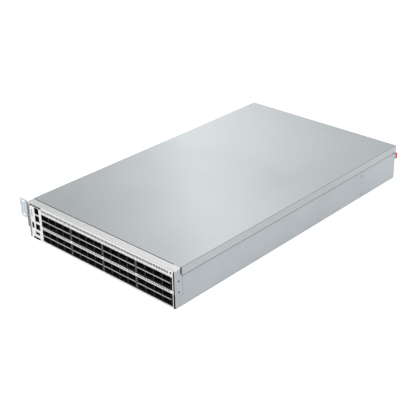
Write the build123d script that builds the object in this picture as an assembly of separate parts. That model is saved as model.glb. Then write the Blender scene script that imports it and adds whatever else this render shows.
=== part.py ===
from build123d import *
import math
import os

# Open ethernet switch, two rack units high, for a 19 inch rack.
# X runs to the right as seen from the front, Y runs back, Z runs up, in millimetres.
# The origin is the middle of the chassis floor's underside.

# Chassis
chassis_width = 438.0
chassis_height = 86.0
chassis_depth = 752.0
tray_sheet = 1.2
cover_sheet = 1.0
bend_radius = 1.6
wall_flange = 8.0
slide_gap = 0.3

# Front rail and the seam behind it
rail_depth = 15.5
rail_lip = 2.6
rail_groove = 0.3
rail_groove_width = 1.0
rail_grooves = (4.8, 9.8)
rail_end_gap = 2.2
seam_width = 2.2
seam_left_inset = 8.0
seam_right_inset = 18.0

# Cover flange
flange_height = 17.8
flange_start = 19.5
flange_gap = 0.2
notch_width = 3.5
notch_height = 15.0
notch_reach = 4.8
rear_relief_width = 8.0
rear_relief_height = 2.0
rear_relief_inset = 15.0

# Front panel
panel_sheet = 1.5
panel_left_inset = 7.0
panel_right_inset = 4.0
panel_return = 3.0
module_width = 33.4
slit_height = 2.5
slit_margin = 1.0
slit_reach = 5.6

# Port field
port_groups = 4
ports_per_group = 4
port_width = 21.1
port_height = 10.6
port_wall = 2.0
port_bar = 3.4
cage_skin = 0.85
cage_gap = 4.35
cage_depth = 62.0
cage_recess = 0.5
window_left_margin = 4.4
window_right_margin = 2.5
window_gap = 0.25
window_bottom = 5.2
middle_strip = 9.2
field_margin = 0.5

# Slot bands of the front panel: those above the windows fill the height that the windows
# leave, with these heights and gaps in proportion
band_slot = 3.2
band_slots_per_group = 16
vent_slots_per_group = 18
vent_slot = 2.9
vent_height = 5.4
vent_gap = 1.0
vent_margin = 3.8
pipe_band_height = 4.2
pipe_band_gap = 1.0
pipe_depth = 9.0
pipe_tooth = 1.2
middle_slot_height = 5.0
screw_hole = 1.5
reset_inset = 6.2
reset_drop = 5.7

# Perforated strip at the left end of the front
strip_sheet = 1.2
strip_gap = 0.3
strip_hole_width = 2.2
strip_hole_height = 2.8
strip_pitch = 5.3
strip_first_hole = 3.7
strip_column_inset = 1.35

# Management sockets: places across are from the panel's left end, and the column of
# sockets fills the height from the panel's top to the tag, with these gaps in proportion
jack_width = 12.8
jack_height = 14.2
jack_depth = 26.0
jack_cavity = 15.6
jack_cavity_left = 3.1
jack_cavity_margin = 0.9
jack_lip = 1.15
jack_notch_width = 2.2
jack_notch_height = 6.5
jack_offset = 16.2
console_height = 12.6
socket_drop = 5.9
socket_gaps = (4.1, 6.2, 7.0, 7.7)
socket_play = 0.2
usb_long = 13.2
usb_short = 6.2
usb_depth = 18.0
usb_cavity = 12.6
usb_skin = 0.5
usb_tongue = 1.3
usb_tongue_gap = 0.9
usb_tongue_margin = 1.3
usb_side_offset = 3.4
usb_low_offset = 13.0
status_lights = 5
status_offset = 6.0
status_drop = 13.9
status_pitch = 3.6
status_radius = 0.9

# Pull-out tag
tag_width = 19.6
tag_thickness = 1.6
tag_length = 60.0
tag_offset = 5.6
tag_z = 2.0
tag_lip = 3.0

# Rack ear
ear_sheet = 2.0
ear_reach = 22.3
ear_height = 43.4
ear_z = 44.3
ear_leg = 20.0
ear_leg_z = 24.4
ear_chamfer = 7.0
ear_slot_z = 50.1
ear_slot_pitch = 31.75
ear_slot_width = 6.8
ear_slot_length = 10.5
ear_slot_inset = 8.3
ear_screw_y = 11.0
ear_hand_shift = 1.0
ear_screw_z = 34.0
ear_screw_pitch = 24.0
ear_screw_radius = 2.1
ear_head_radius = 3.6
ear_head_height = 1.6
screw_play = 0.2
recess_depth = 0.4
recess_start = 4.0
recess_end = 21.0

# Holes for rack rails in the side walls
rail_hole_y = 612.0
rail_hole_z = 10.0
rail_hole_pitch = 46.0
rail_hole_radius = 2.0

# Boards
main_board_sheet = 3.0
main_board_front = 10.0
main_board_gap = 31.0
main_board_left_margin = 2.2
main_board_right_margin = 0.5
side_board_sheet = 1.6
side_board_length = 90.0
side_board_margin = 4.0
standoff_radius = 3.5
standoff_inset = 8.0
standoff_shares = (0.35, 0.65, 0.97)
connector_length = 12.0

# Switch chip and its heat sink
chip_x = 19.0
chip_y = 215.0
chip_size = 76.0
chip_height = 5.0
sink_width = 204.0
sink_length = 150.0
sink_base = 8.0
fin_pitch = 4.4
fin_sheet = 0.8
sink_clearance = 2.0
sink_screw_radius = 2.2
sink_head_radius = 4.4
sink_head_height = 3.0

# Processor board
cpu_board_x = 120.0
cpu_board_gap = 20.7
cpu_board_width = 160.0
cpu_board_length = 110.0
cpu_board_z = 14.0
cpu_board_sheet = 2.0
cpu_sink_size = 70.0
cpu_sink_base = 4.0
cpu_sink_height = 30.0
cpu_sink_fins = 14
cpu_sink_offset = 38.0
memory_length = 70.0
memory_height = 30.0
memory_sheet = 1.4
memory_pitch = 11.0
memory_offset = -58.0
storage_width = 22.0
storage_length = 80.0
storage_height = 3.4
storage_offset = -22.0

# Power and fan boards
power_board_sheet = 3.0
power_board_gap = 0.5
bus_bar_width = 10.0
bus_bar_height = 3.0
bus_bar_overlap = 34.0
bus_bar_gap = 3.0
fan_board_width = 24.0
fan_board_sheet = 1.6
fan_board_rise = 2.0
fan_board_margin = 2.0
fan_socket_width = 22.0
fan_socket_height = 10.0
fan_socket_length = 8.0

# Rear bays
fan_bays = 4
bay_sheet = 1.2
bay_frame_length = 94.0
psu_bay_width = 74.0

# Fan tray
tray_length = 96.0
tray_wall = 1.5
tray_face = 2.0
duct_radius = 37.5
duct_offset = -3.5
duct_start = 6.0
duct_length = 38.0
grille_radius = 33.5
grille_slot = 6.0
grille_rib = 2.6
grille_post = 3.0
strut_width = 4.0
strut_length = 3.0
rotor_gap = 0.8
rotor_length = 26.0
hub_radius = 17.0
shaft_radius = 2.5
shaft_play = 0.05
fan_blades = 7
blade_sheet = 1.6
blade_chord = 23.0
blade_pitch = 48.0

# Fan tray handle and latch
handle_left = -32.0
handle_right = 20.0
handle_z = 8.0
handle_height = 8.0
handle_reach = 26.0
handle_sheet = 2.5
handle_bend = 5.0
latch_inset = 5.1
latch_pivot = 36.0
latch_z = 43.5
latch_height = 13.0
latch_sheet = 2.6
latch_reach = 19.0
latch_pad = 9.0
latch_pad_sheet = 4.4
latch_boss = 3.0
latch_pin = 1.5
latch_swing = 8.0
latch_ear = 2.6
latch_play = 0.3
tooth_start = 14.0
tooth_length = 6.0

# Power supply
psu_length = 185.0
psu_sheet = 1.0
psu_fan_x = 10.0
psu_grille_radius = 16.2
psu_grille_slot = 4.2
psu_grille_rib = 2.0
psu_rotor_radius = 15.4
psu_hub_radius = 8.0
psu_rotor_length = 12.0
psu_shaft_radius = 1.5
psu_blade_chord = 10.0
psu_blades = 5
psu_stator_length = 3.0
inlet_x = -21.5
inlet_width = 26.6
inlet_height = 19.6
inlet_depth = 22.0
inlet_wall = 1.4
inlet_recess = 17.0
inlet_flange = 1.6
inlet_pin_length = 12.0
inlet_pin_width = 2.0
inlet_pin_height = 5.0
inlet_pins = ((-7.0, -2.0), (0.0, 3.0), (7.0, -2.0))
psu_handle_left = -5.0
psu_handle_right = 24.5
psu_handle_height = 6.0
psu_handle_reach = 22.0
psu_handle_sheet = 2.0
psu_handle_bend = 4.0
psu_latch_inset = 4.0
psu_latch_pivot = 24.0
psu_latch_height = 9.0
psu_latch_sheet = 2.2
psu_latch_reach = 14.0
psu_latch_pad = 7.0
psu_latch_pad_sheet = 3.6
psu_latch_boss = 2.4
psu_latch_pin = 1.25
psu_latch_ear = 1.9
psu_tooth_start = 9.0
psu_tooth_length = 4.0

# Places worked out from the sizes above
half_width = chassis_width / 2
front_y = -chassis_depth / 2
rear_y = chassis_depth / 2
inner_half = half_width - tray_sheet
flange_top = chassis_height - cover_sheet
flange_bottom = flange_top - tray_sheet
panel_top = chassis_height - rail_lip
seam_left = -half_width + seam_left_inset
seam_right = half_width - seam_right_inset
panel_left = -half_width + panel_left_inset
panel_right = half_width - panel_right_inset
module_right = panel_left + module_width
slit_right = module_right + slit_reach
window_left = module_right + window_left_margin
window_right = panel_right - window_right_margin
main_board_left = window_left + main_board_left_margin
main_board_right = window_right - main_board_right_margin
ear_hole_y = front_y + ear_screw_y
ear_fixing_y = ear_hole_y + ear_hand_shift
cage_width = ports_per_group * port_width + (ports_per_group - 1) * port_wall + 2 * cage_skin
cage_height = 2 * port_height + port_bar + 2 * cage_skin
cage_pitch = cage_width + cage_gap
field_left = window_left + field_margin
window_height = cage_height + 2 * window_gap
upper_window = window_bottom + window_height + middle_strip
lower_cage_z = window_bottom + window_gap
upper_cage_z = upper_window + window_gap
windows_top = upper_window + window_height
band_heights = pipe_band_gap + pipe_band_height + vent_gap + vent_height + vent_margin
band_share = (panel_top - windows_top) / band_heights
pipe_band_z = windows_top + band_share * pipe_band_gap
pipe_band_top = pipe_band_z + band_share * pipe_band_height
vent_z = pipe_band_top + band_share * vent_gap
board_z = (window_bottom + window_height + upper_window) / 2 - main_board_sheet / 2
board_top = board_z + main_board_sheet
fan_board_rear = rear_y - tray_length - slide_gap
cpu_board_rear = fan_board_rear - fan_board_width - cpu_board_gap
cpu_board_y = cpu_board_rear - cpu_board_length / 2
main_board_rear = cpu_board_rear - cpu_board_length - main_board_gap
main_board_length = main_board_rear - front_y - main_board_front
jack_upper_z = panel_top - socket_drop - jack_height
socket_heights = 2 * jack_height + console_height + usb_short
free_height = panel_top - socket_drop - socket_heights - tag_z - tag_lip - slide_gap
gap_share = free_height / sum(socket_gaps)
jack_lower_z = jack_upper_z - gap_share * socket_gaps[0] - jack_height
console_z = jack_lower_z - gap_share * socket_gaps[1] - console_height
usb_side_z = console_z
usb_low_z = console_z - gap_share * socket_gaps[2] - usb_short
status_top = panel_top - status_drop
side_board_x = panel_left + jack_offset + jack_width + socket_play
fan_bay_width = (2 * inner_half - psu_bay_width - fan_bays * bay_sheet) / fan_bays
tray_width = fan_bay_width - 2 * slide_gap
module_z = tray_sheet + slide_gap
tray_height = flange_bottom - tray_sheet - 2 * slide_gap
psu_width = psu_bay_width - 2 * slide_gap
psu_bay_height = (flange_bottom - tray_sheet - bay_sheet) / 2
psu_height = psu_bay_height - 2 * slide_gap
psu_wall_x = -inner_half + psu_bay_width
power_board_y = rear_y - psu_length - power_board_gap - power_board_sheet
duct_z = tray_height / 2


def between(x_span, y_span, z_span):
    """A block that fills three spans."""
    middle = [(low + high) / 2 for low, high in (x_span, y_span, z_span)]
    sizes = [high - low for low, high in (x_span, y_span, z_span)]
    return Pos(*middle) * Box(*sizes)


def pane(x_span, z_span):
    """A rectangle in an upright sketch, which is drawn as (x, z)."""
    middle = [(low + high) / 2 for low, high in (x_span, z_span)]
    return Pos(*middle) * Rectangle(x_span[1] - x_span[0], z_span[1] - z_span[0])


def upright(sketch, y, length):
    """An upright sketch given a length that runs back from y."""
    return Pos(0, y, 0) * extrude(Plane.XZ * sketch, amount=-length)


def flat(sketch, z, height):
    """A sketch seen from above given a height from z up."""
    return Pos(0, 0, z) * extrude(sketch, amount=height)


def sideways(sketch, x, length):
    """A sketch drawn as (y, z) given a length to the right from x."""
    return Pos(x, 0, 0) * extrude(Plane.YZ * sketch, amount=length)


def folded(points, radius, sheet):
    """The section of a folded sheet along its middle line."""
    return trace(FilletPolyline(*points, radius=radius), sheet)


def across(x, y, z, radius, length):
    """A round bar along X that starts at x."""
    return Pos(x + length / 2, y, z) * Rot(0, 90, 0) * Cylinder(radius, length)


def along(x, y, z, radius, length):
    """A round bar along Y that starts at y."""
    return Pos(x, y + length / 2, z) * Rot(90, 0, 0) * Cylinder(radius, length)


def group_left(group):
    """The left side of one of the groups of ports."""
    return field_left + group * cage_pitch


def band(z, height, slot, count, first=0):
    """Upright slots in step with the groups of ports."""
    pitch = cage_pitch / count
    total = port_groups * count
    left = field_left - cage_gap / 2
    slots = []
    for index in range(first, total):
        x = left + (index + 0.5) * pitch
        if x + slot < window_right:
            slots.append(pane((x - slot / 2, x + slot / 2), (z, z + height)))
    return slots


def chassis_tray():
    middle = half_width - tray_sheet / 2
    top = flange_top - tray_sheet / 2
    points = [
        (-middle + wall_flange, top),
        (-middle, top),
        (-middle, tray_sheet / 2),
        (middle, tray_sheet / 2),
        (middle, top),
        (middle - wall_flange, top),
    ]
    tray = upright(folded(points, bend_radius, tray_sheet), front_y, chassis_depth)
    tray -= between(
        (-inner_half + bend_radius, inner_half - bend_radius),
        (front_y, front_y + panel_sheet),
        (0, tray_sheet),
    )
    tray -= between(
        (-half_width, half_width), (front_y, front_y + rail_depth + slide_gap), (panel_top, chassis_height)
    )
    for side in (-1, 1):
        wall = side * half_width
        notch_y = front_y + rail_depth
        tray -= between(
            sorted((wall - side * notch_reach, wall + side * tray_sheet)),
            (notch_y, notch_y + notch_width),
            (chassis_height - notch_height, chassis_height),
        )
        tray -= between(
            (wall - recess_depth, wall + recess_depth),
            (front_y + recess_start, front_y + recess_end),
            (ear_leg_z, ear_leg_z + ear_height),
        )
        start = wall - tray_sheet * 2
        hole_y = ear_hole_y if side > 0 else ear_fixing_y
        for step in range(2):
            hole_z = ear_screw_z + step * ear_screw_pitch
            tray -= across(start, hole_y, hole_z, ear_screw_radius, tray_sheet * 4)
            hole_z = rail_hole_z + step * rail_hole_pitch
            tray -= across(start, front_y + rail_hole_y, hole_z, rail_hole_radius, tray_sheet * 4)
    return tray


def top_cover():
    middle = half_width + flange_gap + cover_sheet / 2
    top = chassis_height - cover_sheet / 2
    points = [
        (-middle, chassis_height - flange_height),
        (-middle, top),
        (middle, top),
        (middle, chassis_height - flange_height),
    ]
    start = front_y + rail_depth + slide_gap
    cover = upright(folded(points, bend_radius, cover_sheet), start, rear_y - start)
    cover -= between(
        (seam_left, seam_right),
        (start - 1, front_y + rail_depth + seam_width),
        (flange_top - 1, chassis_height + 1),
    )
    for side in (-1, 1):
        outer = side * (half_width + flange_gap + cover_sheet)
        span = sorted((side * (half_width - tray_sheet), outer + side))
        cover -= between(span, (start - 1, front_y + flange_start), (0, chassis_height + 1))
        relief = rear_y - rear_relief_inset
        low = chassis_height - flange_height
        span = sorted((side * half_width, outer + side))
        cover -= between(span, (relief, relief + rear_relief_width), (low - 1, low + rear_relief_height))
    return cover


def front_rail():
    points = [
        (front_y, panel_top),
        (front_y, chassis_height),
    ]
    for groove in rail_grooves:
        middle = front_y + groove
        points.append((middle - rail_groove_width / 2, chassis_height))
        points.append((middle, chassis_height - rail_groove))
        points.append((middle + rail_groove_width / 2, chassis_height))
    points += [
        (front_y + rail_depth, chassis_height),
        (front_y + rail_depth, panel_top),
    ]
    section = make_face(Polyline(*points, close=True))
    return sideways(section, -half_width + rail_end_gap, chassis_width - rail_end_gap)


def panel_sockets():
    """The cut-outs for the management sockets, each a little larger than its socket."""
    left = panel_left + jack_offset
    sockets = [
        (left, jack_width, jack_upper_z, jack_height),
        (left, jack_width, jack_lower_z, jack_height),
        (left, jack_width, console_z, console_height),
        (panel_left + usb_side_offset, usb_short, usb_side_z, usb_long),
        (panel_left + usb_low_offset, usb_long, usb_low_z, usb_short),
    ]
    cuts = []
    for x, width, z, height in sockets:
        x_span = (x - socket_play, x + width + socket_play)
        z_span = (z - socket_play, z + height + socket_play)
        cuts.append(pane(x_span, z_span))
    return cuts


def top_slit():
    """The gap that stays open under the rail over the management column."""
    return pane((panel_left + slit_margin, slit_right), (panel_top - slit_height, panel_top))


def management_panel():
    face = pane((panel_left, module_right), (0, panel_top))
    cuts = [top_slit()]
    cuts += panel_sockets()
    tag_x = panel_left + tag_offset
    tag_top = tag_z + tag_lip + slide_gap
    cuts.append(pane((tag_x, tag_x + tag_width + 2 * slide_gap), (tag_z - slide_gap, tag_top)))
    for index in range(status_lights):
        z = status_top - index * status_pitch
        cuts.append(Pos(panel_left + status_offset, z) * RegularPolygon(status_radius, 6))
    return upright(face - cuts, front_y, panel_sheet)


def front_panel():
    face = pane((module_right, panel_right), (0, panel_top))
    cuts = [
        pane((window_left, window_right), (window_bottom, window_bottom + window_height)),
        pane((window_left, window_right), (upper_window, upper_window + window_height)),
        pane((window_left, window_right), (pipe_band_z, pipe_band_top)),
        top_slit(),
    ]
    cuts += band(vent_z, band_share * vent_height, vent_slot, vent_slots_per_group)
    middle_z = board_z + main_board_sheet / 2 - middle_slot_height / 2
    cuts += band(middle_z, middle_slot_height, band_slot, band_slots_per_group)
    cuts.append(Pos(panel_right - reset_inset, panel_top - reset_drop) * Circle(screw_hole))
    plate = upright(face - cuts, front_y, panel_sheet)
    flange = between(
        (panel_right - panel_sheet, panel_right),
        (front_y + panel_sheet, front_y + panel_return),
        (tray_sheet, panel_top),
    )
    return plate + flange


def side_vent_strip():
    left = -inner_half + strip_gap
    right = panel_left - strip_gap
    bottom = tray_sheet + bend_radius
    top = panel_top - strip_gap
    face = pane((left, right), (bottom, top))
    rows = int((top - bottom - strip_pitch) / strip_pitch)
    cuts = []
    for row in range(rows):
        z = bottom + strip_first_hole + strip_pitch * row
        for column, x in enumerate((left + strip_column_inset, right - strip_column_inset)):
            centre = z + column * strip_pitch / 2
            cuts.append(
                pane(
                    (x - strip_hole_width / 2, x + strip_hole_width / 2),
                    (centre - strip_hole_height / 2, centre + strip_hole_height / 2),
                )
            )
    return upright(face - cuts, front_y, strip_sheet)


def rack_ear():
    outer = -half_width - ear_reach
    corners = [
        (outer, ear_z + ear_chamfer),
        (outer + ear_chamfer, ear_z),
        (-half_width, ear_z),
        (-half_width, ear_z + ear_height),
        (outer, ear_z + ear_height),
    ]
    face = make_face(Polyline(*corners, close=True))
    for step in range(2):
        x = outer + ear_slot_inset
        z = ear_slot_z + step * ear_slot_pitch
        face -= Pos(x, z) * SlotOverall(ear_slot_length, ear_slot_width)
    plate = upright(face, front_y - ear_sheet, ear_sheet)
    flange_low = chassis_height - flange_height
    leg = between(
        (-half_width - ear_sheet, -half_width),
        (front_y - ear_sheet, front_y + ear_leg),
        (ear_leg_z, flange_low - 1),
    )
    for step in range(2):
        z = ear_screw_z + step * ear_screw_pitch
        leg -= across(-half_width - ear_sheet * 2, ear_fixing_y, z, ear_screw_radius, ear_sheet * 3)
    return plate + leg


def ear_screws():
    screws = []
    for step in range(2):
        z = ear_screw_z + step * ear_screw_pitch
        y = ear_fixing_y
        outer = -half_width - ear_sheet
        hexagon = Pos(y, z) * RegularPolygon(ear_head_radius, 6)
        head = sideways(hexagon, outer - ear_head_height, ear_head_height)
        shank = across(outer, y, z, ear_screw_radius - screw_play, ear_sheet + tray_sheet)
        screws.append(head + shank)
    return Compound(children=screws)


def port_cage(group, upper):
    left = group_left(group)
    bottom = upper_cage_z if upper else lower_cage_z
    face = pane((left, left + cage_width), (bottom, bottom + cage_height))
    cuts = []
    for column in range(ports_per_group):
        x = left + cage_skin + column * (port_width + port_wall)
        for row in range(2):
            z = bottom + cage_skin + row * (port_height + port_bar)
            cuts.append(pane((x, x + port_width), (z, z + port_height)))
    cage = upright(face - cuts, front_y + cage_recess, cage_depth)
    foot_span = (board_top, bottom) if upper else (bottom + cage_height, board_z)
    foot_y = (front_y + main_board_front, front_y + cage_recess + cage_depth)
    return cage + between((left, left + cage_width), foot_y, foot_span)


def port_connectors():
    blocks = []
    start = front_y + cage_recess + cage_depth
    for upper in (False, True):
        bottom = upper_cage_z if upper else lower_cage_z
        for group in range(port_groups):
            left = group_left(group)
            z_span = (board_top, bottom + cage_height) if upper else (bottom, board_z)
            blocks.append(between((left, left + cage_width), (start, start + connector_length), z_span))
    return Compound(children=blocks)


def cage_gaskets():
    strips = []
    for bottom in (lower_cage_z, upper_cage_z):
        for group in range(port_groups - 1):
            right = group_left(group) + cage_width
            strips.append(
                between(
                    (right, right + cage_gap),
                    (front_y + cage_recess, front_y + cage_recess + main_board_front / 2),
                    (bottom, bottom + cage_height),
                )
            )
    return Compound(children=strips)


def light_pipes():
    pieces = []
    z = pipe_band_z + window_gap
    height = pipe_band_top - pipe_band_z - 2 * window_gap
    back = front_y + pipe_depth
    pitch = cage_pitch / band_slots_per_group
    for group in range(port_groups):
        left = group_left(group)
        teeth = int(cage_width / pitch)
        outline = [(left, back), (left, front_y + pipe_tooth)]
        for index in range(teeth):
            x = left + index * pitch
            outline.append((x + pitch * 0.5, front_y + pipe_tooth * 0.2))
            outline.append((x + pitch, front_y + pipe_tooth))
        outline.append((left + teeth * pitch, back))
        bar = flat(make_face(Polyline(*outline, close=True)), z, height)
        foot = between((left, left + pitch), (back - pipe_tooth * 2, back), (upper_cage_z + cage_height, z))
        pieces.append(bar + foot)
    for index in range(status_lights):
        light_z = status_top - index * status_pitch
        light = Pos(panel_left + status_offset, light_z) * RegularPolygon(status_radius - window_gap, 6)
        pieces.append(upright(light, front_y, side_board_margin))
    return Compound(children=pieces)


def network_jack(z, height):
    """A shielded jack on its side, with the notch for the plug's tab on its left."""
    left = panel_left + jack_offset
    body = between((left, left + jack_width), (front_y, front_y + jack_depth), (z, z + height))
    hole_left = left + jack_cavity_left
    hole_right = left + jack_width - jack_cavity_margin
    mouth = (z + jack_lip, z + height - jack_lip)
    depth = (front_y - 1, front_y + jack_cavity)
    body -= between((hole_left, hole_right), depth, mouth)
    middle = z + height / 2
    notch = (middle - jack_notch_height / 2, middle + jack_notch_height / 2)
    body -= between((hole_left - jack_notch_width, hole_left), depth, notch)
    return body


def usb_port(x, width, z, height):
    """A flat socket with its tongue along the longer side."""
    x_span = (x, x + width)
    z_span = (z, z + height)
    body = between(x_span, (front_y, front_y + usb_depth), z_span)
    inside = [(low + usb_skin, high - usb_skin) for low, high in (x_span, z_span)]
    body -= between(inside[0], (front_y - 1, front_y + usb_cavity), inside[1])
    broad = [(low + usb_tongue_margin, high - usb_tongue_margin) for low, high in (x_span, z_span)]
    thin = [(high - usb_tongue_gap - usb_tongue, high - usb_tongue_gap) for low, high in (x_span, z_span)]
    tongue = (front_y + 1, front_y + usb_cavity)
    if width > height:
        return body + between(broad[0], tongue, thin[1])
    return body + between(thin[0], tongue, broad[1])


def side_board():
    """The upright board that carries the management sockets."""
    return between(
        (side_board_x - socket_play, side_board_x - socket_play + side_board_sheet),
        (front_y + panel_sheet + side_board_margin, front_y + side_board_length),
        (tray_sheet, panel_top - slit_height),
    )


def id_tag():
    x = panel_left + tag_offset + slide_gap
    card = between(
        (x, x + tag_width), (front_y - tag_thickness, front_y + tag_length), (tag_z, tag_z + tag_thickness)
    )
    lip = between((x, x + tag_width), (front_y - tag_thickness, front_y), (tag_z, tag_z + tag_lip))
    return card + lip


def reset_button():
    x = panel_right - reset_inset
    z = panel_top - reset_drop
    return along(x, front_y + panel_sheet * 0.8, z, screw_hole - slide_gap, 5.0)


def main_board():
    board = between(
        (main_board_left, main_board_right),
        (front_y + main_board_front, main_board_rear),
        (board_z, board_top),
    )
    return board


def sink_screw_places():
    x_reach = (sink_width - sink_head_radius * 3) / 2
    y_reach = sink_length / 2 - sink_head_radius * 3
    return [(chip_x + i * x_reach, front_y + chip_y + j * y_reach) for i in (-1, 1) for j in (-1, 1)]


def switch_chip():
    return between(
        (chip_x - chip_size / 2, chip_x + chip_size / 2),
        (front_y + chip_y - chip_size / 2, front_y + chip_y + chip_size / 2),
        (board_top, board_top + chip_height),
    )


def finned_block(x, y, z, width, length, base, top, count, pitch):
    """A base plate with upright fins along Y, as one extrusion."""
    section = pane((x - width / 2, x + width / 2), (z, z + base))
    for index in range(count):
        middle = x + (index - (count - 1) / 2) * pitch
        section += pane((middle - fin_sheet / 2, middle + fin_sheet / 2), (z + base, top))
    return upright(section, y - length / 2, length)


def switch_heatsink():
    z = board_top + chip_height
    top = flange_bottom - sink_clearance
    y = front_y + chip_y
    fins = int((sink_width - 6 * sink_head_radius) / fin_pitch)
    sink = finned_block(chip_x, y, z, sink_width, sink_length, sink_base, top, fins, fin_pitch)
    reach = sink_screw_radius + screw_play
    for x, screw_y in sink_screw_places():
        outward = math.copysign(1, x - chip_x)
        x_span = sorted((x - outward * reach, x + outward * sink_width))
        sink -= between(x_span, (screw_y - reach, screw_y + reach), (z, z + sink_base))
    return sink


def heatsink_screws():
    z = board_top + chip_height + sink_base
    length = chip_height + sink_base
    screws = []
    for place in sink_screw_places():
        shank = flat(Pos(*place) * RegularPolygon(sink_screw_radius, 6), board_top, length)
        head = flat(Pos(*place) * RegularPolygon(sink_head_radius, 6), z, sink_head_height)
        screws.append(shank + head)
    return screws


def cpu_board_spans():
    y = cpu_board_y
    x_span = (cpu_board_x - cpu_board_width / 2, cpu_board_x + cpu_board_width / 2)
    return x_span, (y - cpu_board_length / 2, y + cpu_board_length / 2)


def cpu_board():
    x_span, y_span = cpu_board_spans()
    return between(x_span, y_span, (cpu_board_z, cpu_board_z + cpu_board_sheet))


def cpu_heatsink():
    z = cpu_board_z + cpu_board_sheet
    pitch = cpu_sink_size / cpu_sink_fins
    x = cpu_board_x + cpu_sink_offset
    y = cpu_board_y
    top = z + cpu_sink_height
    return finned_block(x, y, z, cpu_sink_size, cpu_sink_size, cpu_sink_base, top, cpu_sink_fins, pitch)


def memory_modules():
    z = cpu_board_z + cpu_board_sheet
    y = cpu_board_y
    y_span = (y - memory_length / 2, y + memory_length / 2)
    modules = []
    for index in range(2):
        x = cpu_board_x + memory_offset + index * memory_pitch
        modules.append(between((x, x + memory_sheet), y_span, (z, z + memory_height)))
    return Compound(children=modules)


def storage_module():
    z = cpu_board_z + cpu_board_sheet
    y = cpu_board_y
    x = cpu_board_x + storage_offset
    return between(
        (x - storage_width / 2, x + storage_width / 2),
        (y - storage_length / 2, y + storage_length / 2),
        (z, z + storage_height),
    )


def fan_board_spans():
    x_span = (psu_wall_x + bay_sheet + fan_board_margin, inner_half - fan_board_margin)
    return x_span, (fan_board_rear - fan_board_width, fan_board_rear)


def fan_board():
    x_span, y_span = fan_board_spans()
    z = tray_sheet + fan_board_rise
    pieces = [between(x_span, y_span, (z, z + fan_board_sheet))]
    for bay in range(fan_bays):
        x = tray_middle(bay)
        top = z + fan_board_sheet
        pieces.append(
            between(
                (x - fan_socket_width / 2, x + fan_socket_width / 2),
                (y_span[1] - fan_socket_length, y_span[1]),
                (top, top + fan_socket_height),
            )
        )
    return Compound(children=pieces)


def power_board():
    return between(
        (-inner_half + bend_radius, psu_wall_x - slide_gap),
        (power_board_y, power_board_y + power_board_sheet),
        (tray_sheet, flange_bottom - slide_gap),
    )


def bus_bars():
    bars = []
    for index in range(2):
        x = main_board_left + bus_bar_gap + index * (bus_bar_width + bus_bar_gap)
        bars.append(
            between(
                (x, x + bus_bar_width),
                (main_board_rear - bus_bar_overlap, power_board_y),
                (board_top, board_top + bus_bar_height),
            )
        )
    return Compound(children=bars)


def board_standoffs():
    places = []
    for x in (main_board_left + standoff_inset, 0, main_board_right - standoff_inset):
        for share in standoff_shares:
            places.append((x, front_y + main_board_front + main_board_length * share, board_z))
    x_span, y_span = cpu_board_spans()
    for x in (x_span[0] + standoff_inset, x_span[1] - standoff_inset):
        for y in (y_span[0] + standoff_inset, y_span[1] - standoff_inset):
            places.append((x, y, cpu_board_z))
    x_span, y_span = fan_board_spans()
    for x in (x_span[0] + standoff_inset, x_span[1] - standoff_inset):
        places.append((x, (y_span[0] + y_span[1]) / 2, tray_sheet + fan_board_rise))
    posts = []
    for x, y, top in places:
        posts.append(flat(Pos(x, y) * RegularPolygon(standoff_radius, 6), tray_sheet, top - tray_sheet))
    return posts


def board_fixings():
    """The posts that carry the boards and the screws that hold the heat sink down."""
    return Compound(children=board_standoffs() + heatsink_screws())


def bay_left(bay):
    """The left side of a fan bay; the first bay is the one at the right."""
    return inner_half - (bay + 1) * fan_bay_width - bay * bay_sheet


def tray_middle(bay):
    return bay_left(bay) + fan_bay_width / 2


def fan_bay_frame():
    left = psu_wall_x + bay_sheet
    right = inner_half - wall_flange
    section = pane((left, right), (flange_bottom, flange_top))
    for bay in range(fan_bays - 1):
        x = bay_left(bay)
        section += pane((x - bay_sheet, x), (tray_sheet, flange_bottom))
    return upright(section, rear_y - bay_frame_length, bay_frame_length)


def psu_shelf():
    z = tray_sheet + psu_bay_height
    section = pane((-inner_half, psu_wall_x), (z, z + bay_sheet))
    section += pane((psu_wall_x, psu_wall_x + bay_sheet), (tray_sheet, flange_top))
    return upright(section, rear_y - psu_length, psu_length)


def round_grille(x, z, radius, slot, rib, post):
    """Level slots that fill a circle, in two halves beside an upright post."""
    count = int(2 * radius / (slot + rib))
    cuts = []
    for index in range(count):
        middle = (index - (count - 1) / 2) * (slot + rib)
        edge = abs(middle) + slot / 2
        if edge >= radius:
            continue
        reach = math.sqrt(radius**2 - edge**2)
        if reach < post:
            continue
        z_span = (z + middle - slot / 2, z + middle + slot / 2)
        cuts.append(pane((x - reach, x - post / 2), z_span))
        cuts.append(pane((x + post / 2, x + reach), z_span))
    return cuts


def strip_handle(left, right, z, height, reach, sheet, bend):
    """A folded strip handle on the face at y = 0."""
    points = [
        (left + sheet / 2, 0),
        (left + sheet / 2, reach - sheet / 2),
        (right - sheet / 2, reach - sheet / 2),
        (right - sheet / 2, 0),
    ]
    return flat(folded(points, bend, sheet), z, height)


def latch_lever(x, pivot, z, height, sheet, reach, pad, pad_sheet, boss, pin, tooth, depth):
    """A sprung lever on an upright pin at y = -pivot; its tooth points to the right."""
    outline = pane((x - sheet / 2, x + sheet / 2), (-pivot, reach))
    outline += Pos(x, -pivot) * Rectangle(2 * boss, 2 * boss)
    outline += pane((x + sheet / 2 - pad_sheet, x + sheet / 2), (reach - pad, reach))
    start, length = tooth
    corners = [
        (x, -start),
        (x + sheet / 2 + depth, -start),
        (x + sheet / 2, -start + length),
        (x, -start + length),
    ]
    outline += make_face(Polyline(*corners, close=True))
    outline -= Pos(x, -pivot) * Circle(pin + shaft_play)
    return flat(outline, z, height)


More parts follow.
